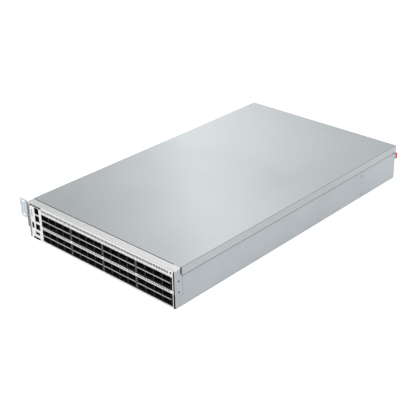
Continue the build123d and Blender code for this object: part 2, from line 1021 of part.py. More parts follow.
def fan_tray(bay):
    half = tray_width / 2
    outer = pane((-half, half), (0, tray_height))
    inner = pane((-half + tray_wall, half - tray_wall), (tray_wall, tray_height - tray_wall))
    shell = upright(outer - inner, -tray_length, tray_length - tray_face)
    latch_x = half - latch_inset
    slot_z = (latch_z - latch_play * 2, latch_z + latch_height + latch_play * 2)
    swing = math.radians(latch_swing)
    slot_x = (
        latch_x - latch_sheet / 2 - latch_pivot * math.sin(swing) - latch_play * 3,
        latch_x + latch_sheet / 2 + latch_play * 2,
    )
    cuts = round_grille(duct_offset, duct_z, grille_radius, grille_slot, grille_rib, grille_post)
    cuts.append(pane(slot_x, slot_z))
    face = upright(outer - cuts, -tray_face, tray_face)
    duct_y = -tray_length + duct_start
    housing = upright(inner - Pos(duct_offset, duct_z) * Circle(duct_radius), duct_y, duct_length)
    stator = Pos(duct_offset, duct_z) * Circle(hub_radius)
    hub_reach = duct_radius + tray_wall
    for turn in (0, 90):
        stator += Pos(duct_offset, duct_z) * Rot(0, 0, turn + 45) * Rectangle(2 * hub_reach, strut_width)
    struts = upright(stator, duct_y + duct_length - strut_length, strut_length)
    shaft_length = rotor_length + strut_length
    shaft = along(duct_offset, duct_y + duct_length - shaft_length, duct_z, shaft_radius, shaft_length)
    tray = shell + face + housing + struts + shaft
    tray += strip_handle(
        handle_left, handle_right, handle_z, handle_height, handle_reach, handle_sheet, handle_bend
    )
    ears = between(
        (latch_x - latch_boss, half - tray_wall / 2),
        (-latch_pivot - latch_boss, -latch_pivot + latch_boss),
        (latch_z - latch_play - latch_ear, latch_z + latch_height + latch_play + latch_ear),
    )
    ears -= between(
        (latch_x - latch_boss * 2, half - tray_wall),
        (-latch_pivot - latch_boss * 2, -latch_pivot + latch_boss * 2),
        (latch_z - latch_play, latch_z + latch_height + latch_play),
    )
    pin_z = (latch_z - latch_play - latch_ear / 2, latch_z + latch_height + latch_play + latch_ear / 2)
    pin = flat(Pos(latch_x, -latch_pivot) * Circle(latch_pin), pin_z[0], pin_z[1] - pin_z[0])
    tray += ears + pin
    tray -= between(
        (half - tray_wall * 1.5, half + 1),
        (-tooth_start - 2, -tooth_start + tooth_length + 2),
        slot_z,
    )
    return Pos(tray_middle(bay), rear_y, module_z) * tray


def impeller(radius, hub, length, bore, count, chord):
    """A hub with pitched blades about the Y axis."""
    rotor = along(0, 0, 0, hub, length) - along(0, -1, 0, bore, length + 2)
    half_span = (chord * math.sin(math.radians(blade_pitch)) + blade_sheet) / 2
    tip = math.sqrt(radius**2 - half_span**2)
    root = math.sqrt(hub**2 - half_span**2) - blade_sheet
    plane = Plane(origin=(root, length / 2, 0), x_dir=(0, 1, 0), z_dir=(1, 0, 0))
    blade = extrude(plane * Rot(0, 0, blade_pitch) * Rectangle(chord, blade_sheet), amount=tip - root)
    for index in range(count):
        rotor += Rot(0, index * 360 / count, 0) * blade
    return rotor


def fan_rotor(bay):
    rotor = impeller(
        duct_radius - rotor_gap,
        hub_radius,
        rotor_length,
        shaft_radius + shaft_play,
        fan_blades,
        blade_chord,
    )
    y = rear_y - tray_length + duct_start + duct_length - strut_length - slide_gap - rotor_length
    return Pos(tray_middle(bay) + duct_offset, y, module_z + duct_z) * rotor


def fan_latch(bay):
    depth = latch_inset - latch_sheet / 2 - slide_gap
    lever = latch_lever(
        tray_width / 2 - latch_inset,
        latch_pivot,
        latch_z,
        latch_height,
        latch_sheet,
        latch_reach,
        latch_pad,
        latch_pad_sheet,
        latch_boss,
        latch_pin,
        (tooth_start, tooth_length),
        depth,
    )
    return Pos(tray_middle(bay), rear_y, module_z) * lever


def psu_place(index):
    """The lower supply is the first, the upper the second."""
    z = tray_sheet + slide_gap + index * (psu_bay_height + bay_sheet)
    return Pos(-inner_half + psu_bay_width / 2, rear_y, z)


def psu_case(index):
    half = psu_width / 2
    middle = psu_height / 2
    outer = pane((-half, half), (0, psu_height))
    inner = pane((-half + psu_sheet, half - psu_sheet), (psu_sheet, psu_height - psu_sheet))
    shell = upright(outer, -psu_length, psu_sheet)
    shell += upright(outer - inner, -psu_length + psu_sheet, psu_length - 2 * psu_sheet)
    latch_x = half - psu_latch_inset
    slot_z = (
        middle - psu_latch_height / 2 - latch_play * 2,
        middle + psu_latch_height / 2 + latch_play * 2,
    )
    swing = math.radians(latch_swing)
    slot_x = (
        latch_x - psu_latch_sheet / 2 - psu_latch_pivot * math.sin(swing) - latch_play * 3,
        latch_x + psu_latch_sheet / 2 + latch_play,
    )
    cuts = round_grille(psu_fan_x, middle, psu_grille_radius, psu_grille_slot, psu_grille_rib, psu_grille_rib)
    cuts.append(pane(slot_x, slot_z))
    cuts.append(
        pane(
            (inlet_x - inlet_width / 2 - socket_play, inlet_x + inlet_width / 2 + socket_play),
            (middle - inlet_height / 2 - socket_play, middle + inlet_height / 2 + socket_play),
        )
    )
    shell += upright(outer - cuts, -psu_sheet, psu_sheet)
    stator = along(psu_fan_x, -psu_sheet - psu_stator_length, middle, psu_hub_radius, psu_stator_length)
    shaft_length = psu_rotor_length + psu_stator_length
    shaft = along(psu_fan_x, -psu_sheet - shaft_length, middle, psu_shaft_radius, shaft_length)
    handle = strip_handle(
        psu_handle_left,
        psu_handle_right,
        middle - psu_handle_height / 2,
        psu_handle_height,
        psu_handle_reach,
        psu_handle_sheet,
        psu_handle_bend,
    )
    low = middle - psu_latch_height / 2 - latch_play
    high = middle + psu_latch_height / 2 + latch_play
    pivot_y = (-psu_latch_pivot - psu_latch_boss, -psu_latch_pivot + psu_latch_boss)
    ears = between((latch_x - psu_latch_boss, half - psu_sheet / 2), pivot_y, (low - psu_latch_ear, low))
    ears += between((latch_x - psu_latch_boss, half - psu_sheet / 2), pivot_y, (high, high + psu_latch_ear))
    pin = flat(
        Pos(latch_x, -psu_latch_pivot) * Circle(psu_latch_pin),
        low - psu_latch_ear / 2,
        high - low + psu_latch_ear,
    )
    case = shell + stator + shaft + handle + ears + pin
    case -= between(
        (half - psu_sheet * 1.5, half + 1),
        (-psu_tooth_start - 2, -psu_tooth_start + psu_tooth_length + 2),
        slot_z,
    )
    return psu_place(index) * case


def psu_rotor(index):
    rotor = impeller(
        psu_rotor_radius,
        psu_hub_radius,
        psu_rotor_length,
        psu_shaft_radius + shaft_play,
        psu_blades,
        psu_blade_chord,
    )
    y = -psu_sheet - psu_stator_length - slide_gap - psu_rotor_length
    return psu_place(index) * Pos(psu_fan_x, y, psu_height / 2) * rotor


def psu_latch(index):
    depth = psu_latch_inset - psu_latch_sheet / 2 - slide_gap
    lever = latch_lever(
        psu_width / 2 - psu_latch_inset,
        psu_latch_pivot,
        psu_height / 2 - psu_latch_height / 2,
        psu_latch_height,
        psu_latch_sheet,
        psu_latch_reach,
        psu_latch_pad,
        psu_latch_pad_sheet,
        psu_latch_boss,
        psu_latch_pin,
        (psu_tooth_start, psu_tooth_length),
        depth,
    )
    return psu_place(index) * lever


def psu_inlet(index):
    middle = psu_height / 2
    x_span = (inlet_x - inlet_width / 2, inlet_x + inlet_width / 2)
    z_span = (middle - inlet_height / 2, middle + inlet_height / 2)
    body = between(x_span, (-inlet_depth, 0), z_span)
    body += between(
        (x_span[0] - inlet_flange / 2, x_span[1] + inlet_flange / 2),
        (0, inlet_flange),
        (z_span[0] - inlet_flange, z_span[1] + inlet_flange),
    )
    body -= between(
        (x_span[0] + inlet_wall, x_span[1] - inlet_wall),
        (-inlet_recess, inlet_flange + 1),
        (z_span[0] + inlet_wall, z_span[1] - inlet_wall),
    )
    for x, z in inlet_pins:
        body += between(
            (inlet_x + x - inlet_pin_width / 2, inlet_x + x + inlet_pin_width / 2),
            (-inlet_recess, -inlet_recess + inlet_pin_length),
            (middle + z - inlet_pin_height / 2, middle + z + inlet_pin_height / 2),
        )
    return psu_place(index) * body


def all_nodes():
    low_usb = (panel_left + usb_low_offset, usb_long, usb_low_z, usb_short)
    side_usb = (panel_left + usb_side_offset, usb_short, usb_side_z, usb_long)
    nodes = {
        "chassis_tray": chassis_tray(),
        "top_cover": top_cover(),
        "front_rail": front_rail(),
        "front_panel": front_panel(),
        "management_panel": management_panel(),
        "side_vent_strip": side_vent_strip(),
        "rack_ear": rack_ear(),
        "ear_screws": ear_screws(),
        "port_connectors": port_connectors(),
        "cage_gaskets": cage_gaskets(),
        "light_pipes": light_pipes(),
        "network_jack_upper": network_jack(jack_upper_z, jack_height),
        "network_jack_lower": network_jack(jack_lower_z, jack_height),
        "console_jack": network_jack(console_z, console_height),
        "usb_port_side": usb_port(*side_usb),
        "usb_port_low": usb_port(*low_usb),
        "side_board": side_board(),
        "id_tag": id_tag(),
        "reset_button": reset_button(),
        "main_board": main_board(),
        "board_fixings": board_fixings(),
        "switch_chip": switch_chip(),
        "switch_heatsink": switch_heatsink(),
        "cpu_board": cpu_board(),
        "cpu_heatsink": cpu_heatsink(),
        "memory_modules": memory_modules(),
        "storage_module": storage_module(),
        "power_board": power_board(),
        "bus_bars": bus_bars(),
        "fan_board": fan_board(),
        "fan_bay_frame": fan_bay_frame(),
        "psu_shelf": psu_shelf(),
    }
    for group in range(port_groups):
        nodes[f"port_cage_upper_{group + 1}"] = port_cage(group, True)
        nodes[f"port_cage_lower_{group + 1}"] = port_cage(group, False)
    for bay in range(fan_bays):
        nodes[f"fan_tray_{bay + 1}"] = fan_tray(bay)
        nodes[f"fan_rotor_{bay + 1}"] = fan_rotor(bay)
        nodes[f"fan_latch_{bay + 1}"] = fan_latch(bay)
    for index in range(2):
        nodes[f"psu_case_{index + 1}"] = psu_case(index)
        nodes[f"psu_rotor_{index + 1}"] = psu_rotor(index)
        nodes[f"psu_latch_{index + 1}"] = psu_latch(index)
        nodes[f"psu_inlet_{index + 1}"] = psu_inlet(index)
    return nodes


os.makedirs("parts", exist_ok=True)
for name, shape in all_nodes().items():
    export_step(shape, f"parts/{name}.step")
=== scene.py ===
import math

import bmesh
import bpy
from mathutils import Matrix, Vector


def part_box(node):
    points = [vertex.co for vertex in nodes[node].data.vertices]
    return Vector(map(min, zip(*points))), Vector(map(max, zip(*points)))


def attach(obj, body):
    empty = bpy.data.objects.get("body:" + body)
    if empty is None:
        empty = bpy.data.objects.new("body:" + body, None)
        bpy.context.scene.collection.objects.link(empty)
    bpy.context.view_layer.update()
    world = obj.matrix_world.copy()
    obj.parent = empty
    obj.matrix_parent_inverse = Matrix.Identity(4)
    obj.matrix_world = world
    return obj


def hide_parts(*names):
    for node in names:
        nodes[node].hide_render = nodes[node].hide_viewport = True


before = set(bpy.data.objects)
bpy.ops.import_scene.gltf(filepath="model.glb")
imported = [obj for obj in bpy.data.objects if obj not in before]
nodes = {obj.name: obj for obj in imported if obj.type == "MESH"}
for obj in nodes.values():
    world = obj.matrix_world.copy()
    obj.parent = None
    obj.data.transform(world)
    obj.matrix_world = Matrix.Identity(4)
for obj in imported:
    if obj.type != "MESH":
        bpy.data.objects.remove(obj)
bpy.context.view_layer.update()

# The view is that of a product photo, from above the front right corner through a long lens.
# Places are in metres: X to the right of the port side, Y back, Z up.
camera_place = Vector((1.2783, -1.4184, 0.9919))
camera_right = Vector((0.73806, 0.67449, -0.01806))
camera_down = Vector((0.30068, -0.35275, -0.88609))
lens_length = 81.32
sensor_width = 36.0

camera = bpy.data.cameras.new("product_camera")
camera.lens = lens_length
camera.sensor_width = sensor_width
viewer = bpy.data.objects.new("product_camera", camera)
bpy.context.scene.collection.objects.link(viewer)
camera_up = -camera_down
camera_back = camera_right.cross(camera_up)
turn = Matrix((camera_right, camera_up, camera_back)).transposed()
viewer.matrix_world = Matrix.Translation(camera_place) @ turn.to_4x4()
bpy.context.scene.camera = viewer
bpy.context.scene.view_settings.view_transform = "Standard"

# The studio is a white sweep with soft light from a wide sky, so that the painted sheet keeps
# its own grey. A long soft box hangs over the cover and lays a broad pale band across it.
sky_light = 0.36
floor_reach = 14.0
floor_drop = 0.0002
floor_colour = (0.90, 0.90, 0.90, 1.0)
floor_lift = 0.68
white = (1.0, 1.0, 1.0, 1.0)


def seen_directly(tree):
    """A value of 1 for rays that show the background: direct, mirrored or passing through."""
    path = tree.nodes.new("ShaderNodeLightPath")
    first = tree.nodes.new("ShaderNodeMath")
    first.operation = "MAXIMUM"
    tree.links.new(path.outputs["Is Camera Ray"], first.inputs[0])
    tree.links.new(path.outputs["Is Glossy Ray"], first.inputs[1])
    second = tree.nodes.new("ShaderNodeMath")
    second.operation = "MAXIMUM"
    tree.links.new(first.outputs[0], second.inputs[0])
    tree.links.new(path.outputs["Is Transmission Ray"], second.inputs[1])
    return second.outputs[0]


world = bpy.data.worlds.new("white_studio")
world.use_nodes = True
bpy.context.scene.world = world
sky = world.node_tree
sky.nodes["Background"].inputs["Color"].default_value = white
strength = sky.nodes.new("ShaderNodeMapRange")
strength.inputs["To Min"].default_value = sky_light
strength.inputs["To Max"].default_value = 1.0
sky.links.new(seen_directly(sky), strength.inputs["Value"])
sky.links.new(strength.outputs["Result"], sky.nodes["Background"].inputs["Strength"])

floor_mesh = bpy.data.meshes.new("studio_floor")
corners = [
    (x * floor_reach, y * floor_reach, -floor_drop)
    for x, y in ((-1, -1), (1, -1), (1, 1), (-1, 1))
]
floor_mesh.from_pydata(corners, [], [(0, 1, 2, 3)])
floor = bpy.data.objects.new("studio_floor", floor_mesh)
bpy.context.scene.collection.objects.link(floor)

floor_finish = bpy.data.materials.new("studio_floor")
floor_finish.use_nodes = True
tree = floor_finish.node_tree
tree.nodes.remove(tree.nodes["Principled BSDF"])
matte = tree.nodes.new("ShaderNodeBsdfDiffuse")
matte.inputs["Color"].default_value = floor_colour
lift = tree.nodes.new("ShaderNodeMath")
lift.operation = "MULTIPLY"
lift.inputs[1].default_value = floor_lift
tree.links.new(seen_directly(tree), lift.inputs[0])
glow = tree.nodes.new("ShaderNodeEmission")
tree.links.new(lift.outputs[0], glow.inputs["Strength"])
both = tree.nodes.new("ShaderNodeAddShader")
tree.links.new(matte.outputs[0], both.inputs[0])
tree.links.new(glow.outputs[0], both.inputs[1])
tree.links.new(both.outputs[0], tree.nodes["Material Output"].inputs["Surface"])
floor_mesh.materials.append(floor_finish)


def soft_box(name, place, target, width, height, power, roll=0.0):
    """A rectangular lamp that faces a target and isn't itself seen."""
    lamp = bpy.data.lights.new(name, "AREA")
    lamp.shape = "RECTANGLE"
    lamp.size = width
    lamp.size_y = height
    lamp.energy = power
    holder = bpy.data.objects.new(name, lamp)
    bpy.context.scene.collection.objects.link(holder)
    facing = (Vector(target) - Vector(place)).to_track_quat("-Z", "Y").to_matrix().to_4x4()
    holder.matrix_world = Matrix.Translation(place) @ facing @ Matrix.Rotation(roll, 4, "Z")
    holder.visible_camera = False


band_angle = math.radians(-40.0)
soft_box(
    "cover_light",
    place=(-0.05, 0.04, 0.36),
    target=(-0.05, 0.04, 0.0),
    width=2.0,
    height=0.06,
    power=1.4,
    roll=band_angle,
)
soft_box(
    "rear_light",
    place=(-0.35, 0.35, 0.70),
    target=(-0.10, 0.10, 0.0),
    width=0.8,
    height=0.3,
    power=2.1,
    roll=band_angle,
)
soft_box(
    "side_light",
    place=(1.55, 1.4, 0.5),
    target=(0.22, 0.2, 0.04),
    width=1.6,
    height=1.0,
    power=19.0,
)
soft_box(
    "front_light",
    place=(-0.3, -2.0, 0.35),
    target=(0.0, -0.37, 0.04),
    width=1.6,
    height=0.5,
    power=19.0,
)


# The chassis tray is one sheet of steel, folded up at both sides and powder coated light grey.
# The coat has a fine grain and faint cloudiness over a hand's breadth; its edges are painted
# paler, partly a painted highlight and partly a thinner coat.
tray_grey = (0.480, 0.515, 0.540, 1.0)
tray_cloud = (0.520, 0.555, 0.580, 1.0)
tray_thin_coat_highlight = (0.74, 0.76, 0.78, 1.0)
# The next colour is painted shade, laid on crevices, bends and front faces.
painted_shade_dark = (0.03, 0.035, 0.035, 1.0)


def new_group(name, inputs):
    """A shader group with named inputs that puts out a colour, a roughness and a normal."""
    group = bpy.data.node_groups.new(name, "ShaderNodeTree")
    for socket, kind, value in inputs:
        made = group.interface.new_socket(
            socket, in_out="INPUT", socket_type=f"NodeSocket{kind}"
        )
        made.default_value = value
    for socket, kind in (("Colour", "Color"), ("Roughness", "Float"), ("Normal", "Vector")):
        group.interface.new_socket(socket, in_out="OUTPUT", socket_type=f"NodeSocket{kind}")
    return group, group.nodes.new("NodeGroupInput").outputs


def feed(group, value, socket):
    """Links a socket to another one, or sets a plain value on it."""
    if isinstance(value, bpy.types.NodeSocket):
        group.links.new(value, socket)
    else:
        socket.default_value = value


def reckon(group, operation, *values, kind="Math"):
    """A node that works out a number or a vector; gives its outputs."""
    node = group.nodes.new(f"ShaderNode{kind}")
    node.operation = operation
    for value, socket in zip(values, node.inputs):
        feed(group, value, socket)
    return node.outputs


def rescale(group, value, start, end, top=1.0):
    """A share that goes from 0 to its top while a value goes from start to end."""
    share = group.nodes.new("ShaderNodeMapRange")
    share.inputs["From Min"].default_value = start
    share.inputs["From Max"].default_value = end
    feed(group, value, share.inputs["Value"])
    feed(group, top, share.inputs["To Max"])
    return share.outputs["Result"]


def blend(group, share, first, second):
    """A colour that lies between two colours."""
    mix = group.nodes.new("ShaderNodeMix")
    mix.data_type = "RGBA"
    feed(group, share, mix.inputs["Factor"])
    feed(group, first, mix.inputs["A"])
    feed(group, second, mix.inputs["B"])
    return mix.outputs["Result"]


def object_place(group):
    """Places on the object itself, in metres."""
    return group.nodes.new("ShaderNodeTexCoord").outputs["Object"]


def add_texture(group, kind, place, scale, detail=None):
    """A procedural pattern over the places that it is given."""
    texture = group.nodes.new(f"ShaderNodeTex{kind}")
    feed(group, place, texture.inputs["Vector"])
    feed(group, scale, texture.inputs["Scale"])
    if detail is not None:
        texture.inputs["Detail"].default_value = detail
    return texture


def put_out(group, given, colour, wear, spread, height, relief):
    """Sends out a colour, a roughness that varies with wear, and the normal of a relief."""
    result = group.nodes.new("NodeGroupOutput").inputs
    rough = reckon(group, "MULTIPLY_ADD", wear, spread, given["Roughness"])
    bump = group.nodes.new("ShaderNodeBump")
    bump.inputs["Distance"].default_value = relief
    feed(group, given["Depth"], bump.inputs["Strength"])
    feed(group, height, bump.inputs["Height"])
    feed(group, colour, result["Colour"])
    feed(group, rough[0], result["Roughness"])
    feed(group, bump.outputs["Normal"], result["Normal"])


def new_coat_group():
    """Powder coat: cloudy colour, pale edges with a painted highlight, painted shade in crevices,
    on bends and on front faces, and a fine grain.
    """
    group, given = new_group(
        "powder_coat",
        [
            ("Colour", "Color", white),
            ("Cloud", "Color", white),
            ("Edge", "Color", white),
            ("Cloud Scale", "Float", 9.0),
            ("Grain Scale", "Float", 1400.0),
            ("Roughness", "Float", 0.45),
            ("Depth", "Float", 0.06),
            ("Edge Width", "Float", 0.0006),
            ("Edge Amount", "Float", 0.7),
            ("Crevice Amount", "Float", 0.6),
            ("Bend Amount", "Float", 0.0),
            ("Front Amount", "Float", 0.0),
        ],
    )
    place = object_place(group)
    cloud = add_texture(group, "Noise", place, given["Cloud Scale"], detail=4.0).outputs["Fac"]
    cloudiness = rescale(group, cloud, start=0.35, end=0.65)
    colour = blend(group, cloudiness, given["Colour"], given["Cloud"])
    grain = add_texture(group, "Noise", place, given["Grain Scale"], detail=2.0).outputs["Fac"]

    # Painted highlight: a paler colour along rounded edges, where light would catch them, mixed
    # with the thinner coat there.
    rounded = group.nodes.new("ShaderNodeBevel")
    rounded.samples = 4
    feed(group, given["Edge Width"], rounded.inputs["Radius"])
    face = group.nodes.new("ShaderNodeNewGeometry").outputs["Normal"]
    alike = reckon(group, "DOT_PRODUCT", rounded.outputs["Normal"], face, kind="VectorMath")
    edge = rescale(group, alike["Value"], start=0.99, end=0.80)
    thin_coat_and_highlight = reckon(group, "MULTIPLY", edge, given["Edge Amount"])[0]
    colour = blend(group, thin_coat_and_highlight, colour, given["Edge"])

    # Painted shade: the colour darkens where ambient occlusion finds crevices and steps, as far
    # as the Crevice Amount says.
    closeness = group.nodes.new("ShaderNodeAmbientOcclusion")
    closeness.samples = 8
    closeness.inputs["Distance"].default_value = 0.004
    amount = given["Crevice Amount"]
    crevice = rescale(group, closeness.outputs["AO"], start=0.95, end=0.60, top=amount)

    # Painted shade: bends, as far as the Bend Amount says, and faces that look forward, as far as
    # the Front Amount says, are darkened too.
    parts = group.nodes.new("ShaderNodeSeparateXYZ")
    turned = reckon(group, "ABSOLUTE", face, kind="VectorMath")[0]
    feed(group, turned, parts.inputs[0])
    across, along, upward = parts.outputs
    squarest = reckon(group, "MAXIMUM", across, upward)[0]
    bend = rescale(group, squarest, start=0.97, end=0.80, top=given["Bend Amount"])
    sideways = rescale(group, along, start=0.5, end=0.2)
    fold = reckon(group, "MULTIPLY", bend, sideways)[0]
    forward = rescale(group, along, start=0.5, end=0.9, top=given["Front Amount"])
    dark = reckon(group, "MAXIMUM", crevice, fold)[0]
    dark = reckon(group, "MAXIMUM", dark, forward)[0]
    colour = blend(group, dark, colour, painted_shade_dark)
    put_out(group, given, colour, wear=grain, spread=0.12, height=grain, relief=0.0002)
    return group


powder_coat = new_coat_group()


def new_finish(name, group, values, metallic=0.0, specular=0.5):
    """A material whose colour, roughness and normal come from a shader group."""
    material = bpy.data.materials.new(name)
    material.use_nodes = True
    tree = material.node_tree
    shader = tree.nodes["Principled BSDF"]
    shader.inputs["Metallic"].default_value = metallic
    shader.inputs["Specular IOR Level"].default_value = specular
    texture = tree.nodes.new("ShaderNodeGroup")
    texture.node_tree = group
    for socket, value in values.items():
        texture.inputs[socket].default_value = value
    tree.links.new(texture.outputs["Colour"], shader.inputs["Base Color"])
    tree.links.new(texture.outputs["Roughness"], shader.inputs["Roughness"])
    tree.links.new(texture.outputs["Normal"], shader.inputs["Normal"])
    return material


def dress(material, *names):
    """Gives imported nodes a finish."""
    for name in names:
        for slot in nodes[name].material_slots:
            slot.material = material


# The tray's coat has painted shade in its crevices and a painted highlight on its edges.
tray_coat = new_finish(
    "tray_coat",
    powder_coat,
    {
        "Colour": tray_grey,
        "Cloud": tray_cloud,
        "Edge": tray_thin_coat_highlight,
        "Roughness": 0.40,
        "Crevice Amount": 0.3,
    },
    specular=0.3,
)
dress(tray_coat, "chassis_tray")


# The top cover is a flat steel lid whose sides fold down over the tray, coated like it.
# It is held by its flanges; the middle of its face is left bare.
cover_grey = (0.490, 0.525, 0.542, 1.0)
cover_cloud = (0.525, 0.560, 0.577, 1.0)

# The cover's coat has painted shade on its bends and in its crevices, and a painted highlight on
# its edges.
cover_coat = new_finish(
    "cover_coat",
    powder_coat,
    {
        "Colour": cover_grey,
        "Cloud": cover_cloud,
        "Edge": tray_thin_coat_highlight,
        "Cloud Scale": 5.0,
        "Roughness": 0.38,
        "Edge Width": 0.0009,
        "Bend Amount": 0.5,
    },
    specular=0.3,
)
dress(cover_coat, "top_cover")


# The front rail is a folded strip that joins the two sides above the ports. It is lighter than
# the cover, with two drawn grooves; its coat has a painted highlight on its edges, and painted
# shade on its front face and in its crevices.
rail_white = (0.83, 0.84, 0.845, 1.0)
rail_cloud = (0.87, 0.875, 0.88, 1.0)
rail_edge = (0.9, 0.9, 0.9, 1.0)

rail_coat = new_finish(
    "rail_coat",
    powder_coat,
    {
        "Colour": rail_white,
        "Cloud": rail_cloud,
        "Edge": rail_edge,
        "Edge Width": 0.0004,
        "Front Amount": 0.38,
    },
)
dress(rail_coat, "front_rail")


# The front panel is one plate of white coated steel, 1.5 mm thick, that folds back at its right
# end. It is punched for the port cages, the light pipes, the sockets and rows of air slots, and
# a row of shallow dimples is pressed along its foot.
mm = 0.001
panel_white = (0.780, 0.775, 0.785, 1.0)
panel_cloud = (0.815, 0.810, 0.820, 1.0)
panel_edge = (0.88, 0.88, 0.88, 1.0)
panel_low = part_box("management_panel")[0]
panel_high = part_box("front_panel")[1]
panel_sheet = 1.5 * mm
fold_foot = 1.2 * mm
punch_play = 1.0 * mm
window_rows = ((5.2 * mm, 32.0 * mm), (41.2 * mm, 68.0 * mm))
window_span = (-174.2 * mm, 212.5 * mm)
pipe_row = (69.0 * mm, 73.2 * mm)
vent_row = (74.2 * mm, 79.6 * mm)
vent_pitch = 4.19 * mm
vent_slot = 2.9 * mm
vent_stop = 3.75 * mm
middle_row = (34.2 * mm, 39.0 * mm)
middle_pitch = 4.35 * mm
middle_slot = 2.3 * mm
foot_row = (1.3 * mm, 3.9 * mm)
foot_depth = 0.15 * mm
slot_sheet = 0.45 * mm
shade_sheet_margin = 0.6 * mm
slit_row = (80.9 * mm, 84.4 * mm)
slit_span = (-211.0 * mm, -173.0 * mm)
tag_play = 0.3 * mm
socket_play = 0.2 * mm
status_x = -206.0 * mm
status_top = 69.5 * mm
status_pitch = 3.6 * mm
status_lights = 5
status_rows = [status_top - status_pitch * step for step in range(status_lights)]
status_radius = 0.9 * mm
status_sides = 12
reset_x = 208.8 * mm
reset_z = 77.7 * mm
reset_radius = 1.5 * mm
sockets = (
    "network_jack_upper",
    "network_jack_lower",
    "console_jack",
    "usb_port_side",
    "usb_port_low",
)
groups = (1, 2, 3, 4)
cage_boxes = [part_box(f"port_cage_upper_{group}") for group in groups]
cage_spans = [(low.x, high.x) for low, high in cage_boxes]


def add_block(shape, low, high):
    """Adds a block between two corners to a mesh being made."""
    middle = [(a + b) / 2 for a, b in zip(low, high)]
    sizes = [b - a for a, b in zip(low, high)]
    turn = Matrix.Translation(middle) @ Matrix.Diagonal((*sizes, 1.0))
    return bmesh.ops.create_cube(shape, size=1.0, matrix=turn)["verts"]


def add_rod(shape, start, length, radius, axis, sides=24):
    """Adds a round bar that runs from a point along X, Y or Z."""
    facing = Vector(axis).to_track_quat("Z", "Y").to_matrix().to_4x4()
    place = Vector(start) + Vector(axis) * length / 2
    bmesh.ops.create_cone(
        shape,
        cap_ends=True,
        segments=sides,
        radius1=radius,
        radius2=radius,
        depth=length,
        matrix=Matrix.Translation(place) @ facing,
    )


def new_object(name, shape, material=None):
    """Turns a mesh being made into an object of the scene."""
    mesh = bpy.data.meshes.new(name)
    shape.to_mesh(mesh)
    shape.free()
    if material:
        mesh.materials.append(material)
    thing = bpy.data.objects.new(name, mesh)
    bpy.context.scene.collection.objects.link(thing)
    return thing


def cut_out(thing, cutters):
    """Takes the cutters' space out of an object's mesh for good."""
    tool = new_object("cutting_tool", cutters)
    change = thing.modifiers.new("cut", "BOOLEAN")
    change.operation = "DIFFERENCE"
    change.solver = "EXACT"
    change.object = tool
    bpy.context.view_layer.update()
    final = thing.evaluated_get(bpy.context.evaluated_depsgraph_get())
    carved = bpy.data.meshes.new_from_object(final)
    thing.modifiers.clear()
    thing.data = carved
    bpy.data.objects.remove(tool)


def add_piece(name, shape, material, body="chassis"):
    """Makes a piece that rides on a body."""
    thing = new_object(name, shape, material)
    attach(thing, body)
    return thing


# The panel's coat has a little painted shade in its crevices and a painted highlight on its
# edges.
panel_coat = new_finish(
    "panel_coat",
    powder_coat,
    {
        "Colour": panel_white,
        "Cloud": panel_cloud,
        "Edge": panel_edge,
        "Edge Width": 0.0004,
        "Crevice Amount": 0.15,
    },
)

front = panel_low.y
punch_start = front - punch_play
punch_end = front + panel_sheet + punch_play
punch_length = punch_end - punch_start


def punch(cutters, x_span, z_span, end=punch_end):
    """Adds the tool for a hole through the panel, or for a dimple that ends inside it."""
    add_block(cutters, (x_span[0], punch_start, z_span[0]), (x_span[1], end, z_span[1]))


shape = bmesh.new()
add_block(shape, panel_low, (panel_high.x, front + panel_sheet, panel_high.z))
panel_plate = new_object("panel_plate", shape, panel_coat)
cutters = bmesh.new()
for row in window_rows:
    punch(cutters, window_span, row)
punch(cutters, slit_span, slit_row)
plays = {name: socket_play for name in sockets} | {"id_tag": tag_play}
for name, play in plays.items():
    low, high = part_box(name)
    punch(cutters, (low.x - play, high.x + play), (low.z - play, high.z + play))
for z in status_rows:
    start = (status_x, punch_start, z)
    add_rod(cutters, start, punch_length, status_radius, (0, 1, 0), status_sides)
add_rod(cutters, (reset_x, punch_start, reset_z), punch_length, reset_radius, (0, 1, 0))
for left, right in cage_spans:
    punch(cutters, (left, right), pipe_row)
    count = int((right - left) / middle_pitch)
    first = (left + right - (count - 1) * middle_pitch) / 2
    for index in range(count):
        x = first + index * middle_pitch
        slot = (x - middle_slot / 2, x + middle_slot / 2)
        punch(cutters, slot, middle_row)
        punch(cutters, slot, foot_row, front + foot_depth)
vents = int((reset_x - vent_stop - window_span[0]) / vent_pitch)
for index in range(vents):
    x = window_span[0] + (index + 0.5) * vent_pitch
    punch(cutters, (x - vent_slot / 2, x + vent_slot / 2), vent_row)
cut_out(panel_plate, cutters)
# Shallow pockets behind the slots hold the black sheets of painted shade.
shade_sheet_front = front + slot_sheet
pockets = bmesh.new()
for row in (vent_row, middle_row):
    add_block(
        pockets,
        (window_span[0], shade_sheet_front, row[0] - shade_sheet_margin),
        (window_span[1], punch_end, row[1] + shade_sheet_margin),
    )
cut_out(panel_plate, pockets)
shape = bmesh.new()
shape.from_mesh(panel_plate.data)
add_block(shape, (panel_high.x - panel_sheet, front + panel_sheet, fold_foot), panel_high)
bpy.data.objects.remove(panel_plate)
panel = add_piece("front_panel_plate", shape, panel_coat)
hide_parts("front_panel", "management_panel")


# The perforated strip fills the left end of the front. It is bare drawn steel with two columns
# of punched holes, and sits between the side of the tray and the panel.
strip_grey = (0.44, 0.45, 0.46, 1.0)
strip_pale = (0.56, 0.57, 0.58, 1.0)


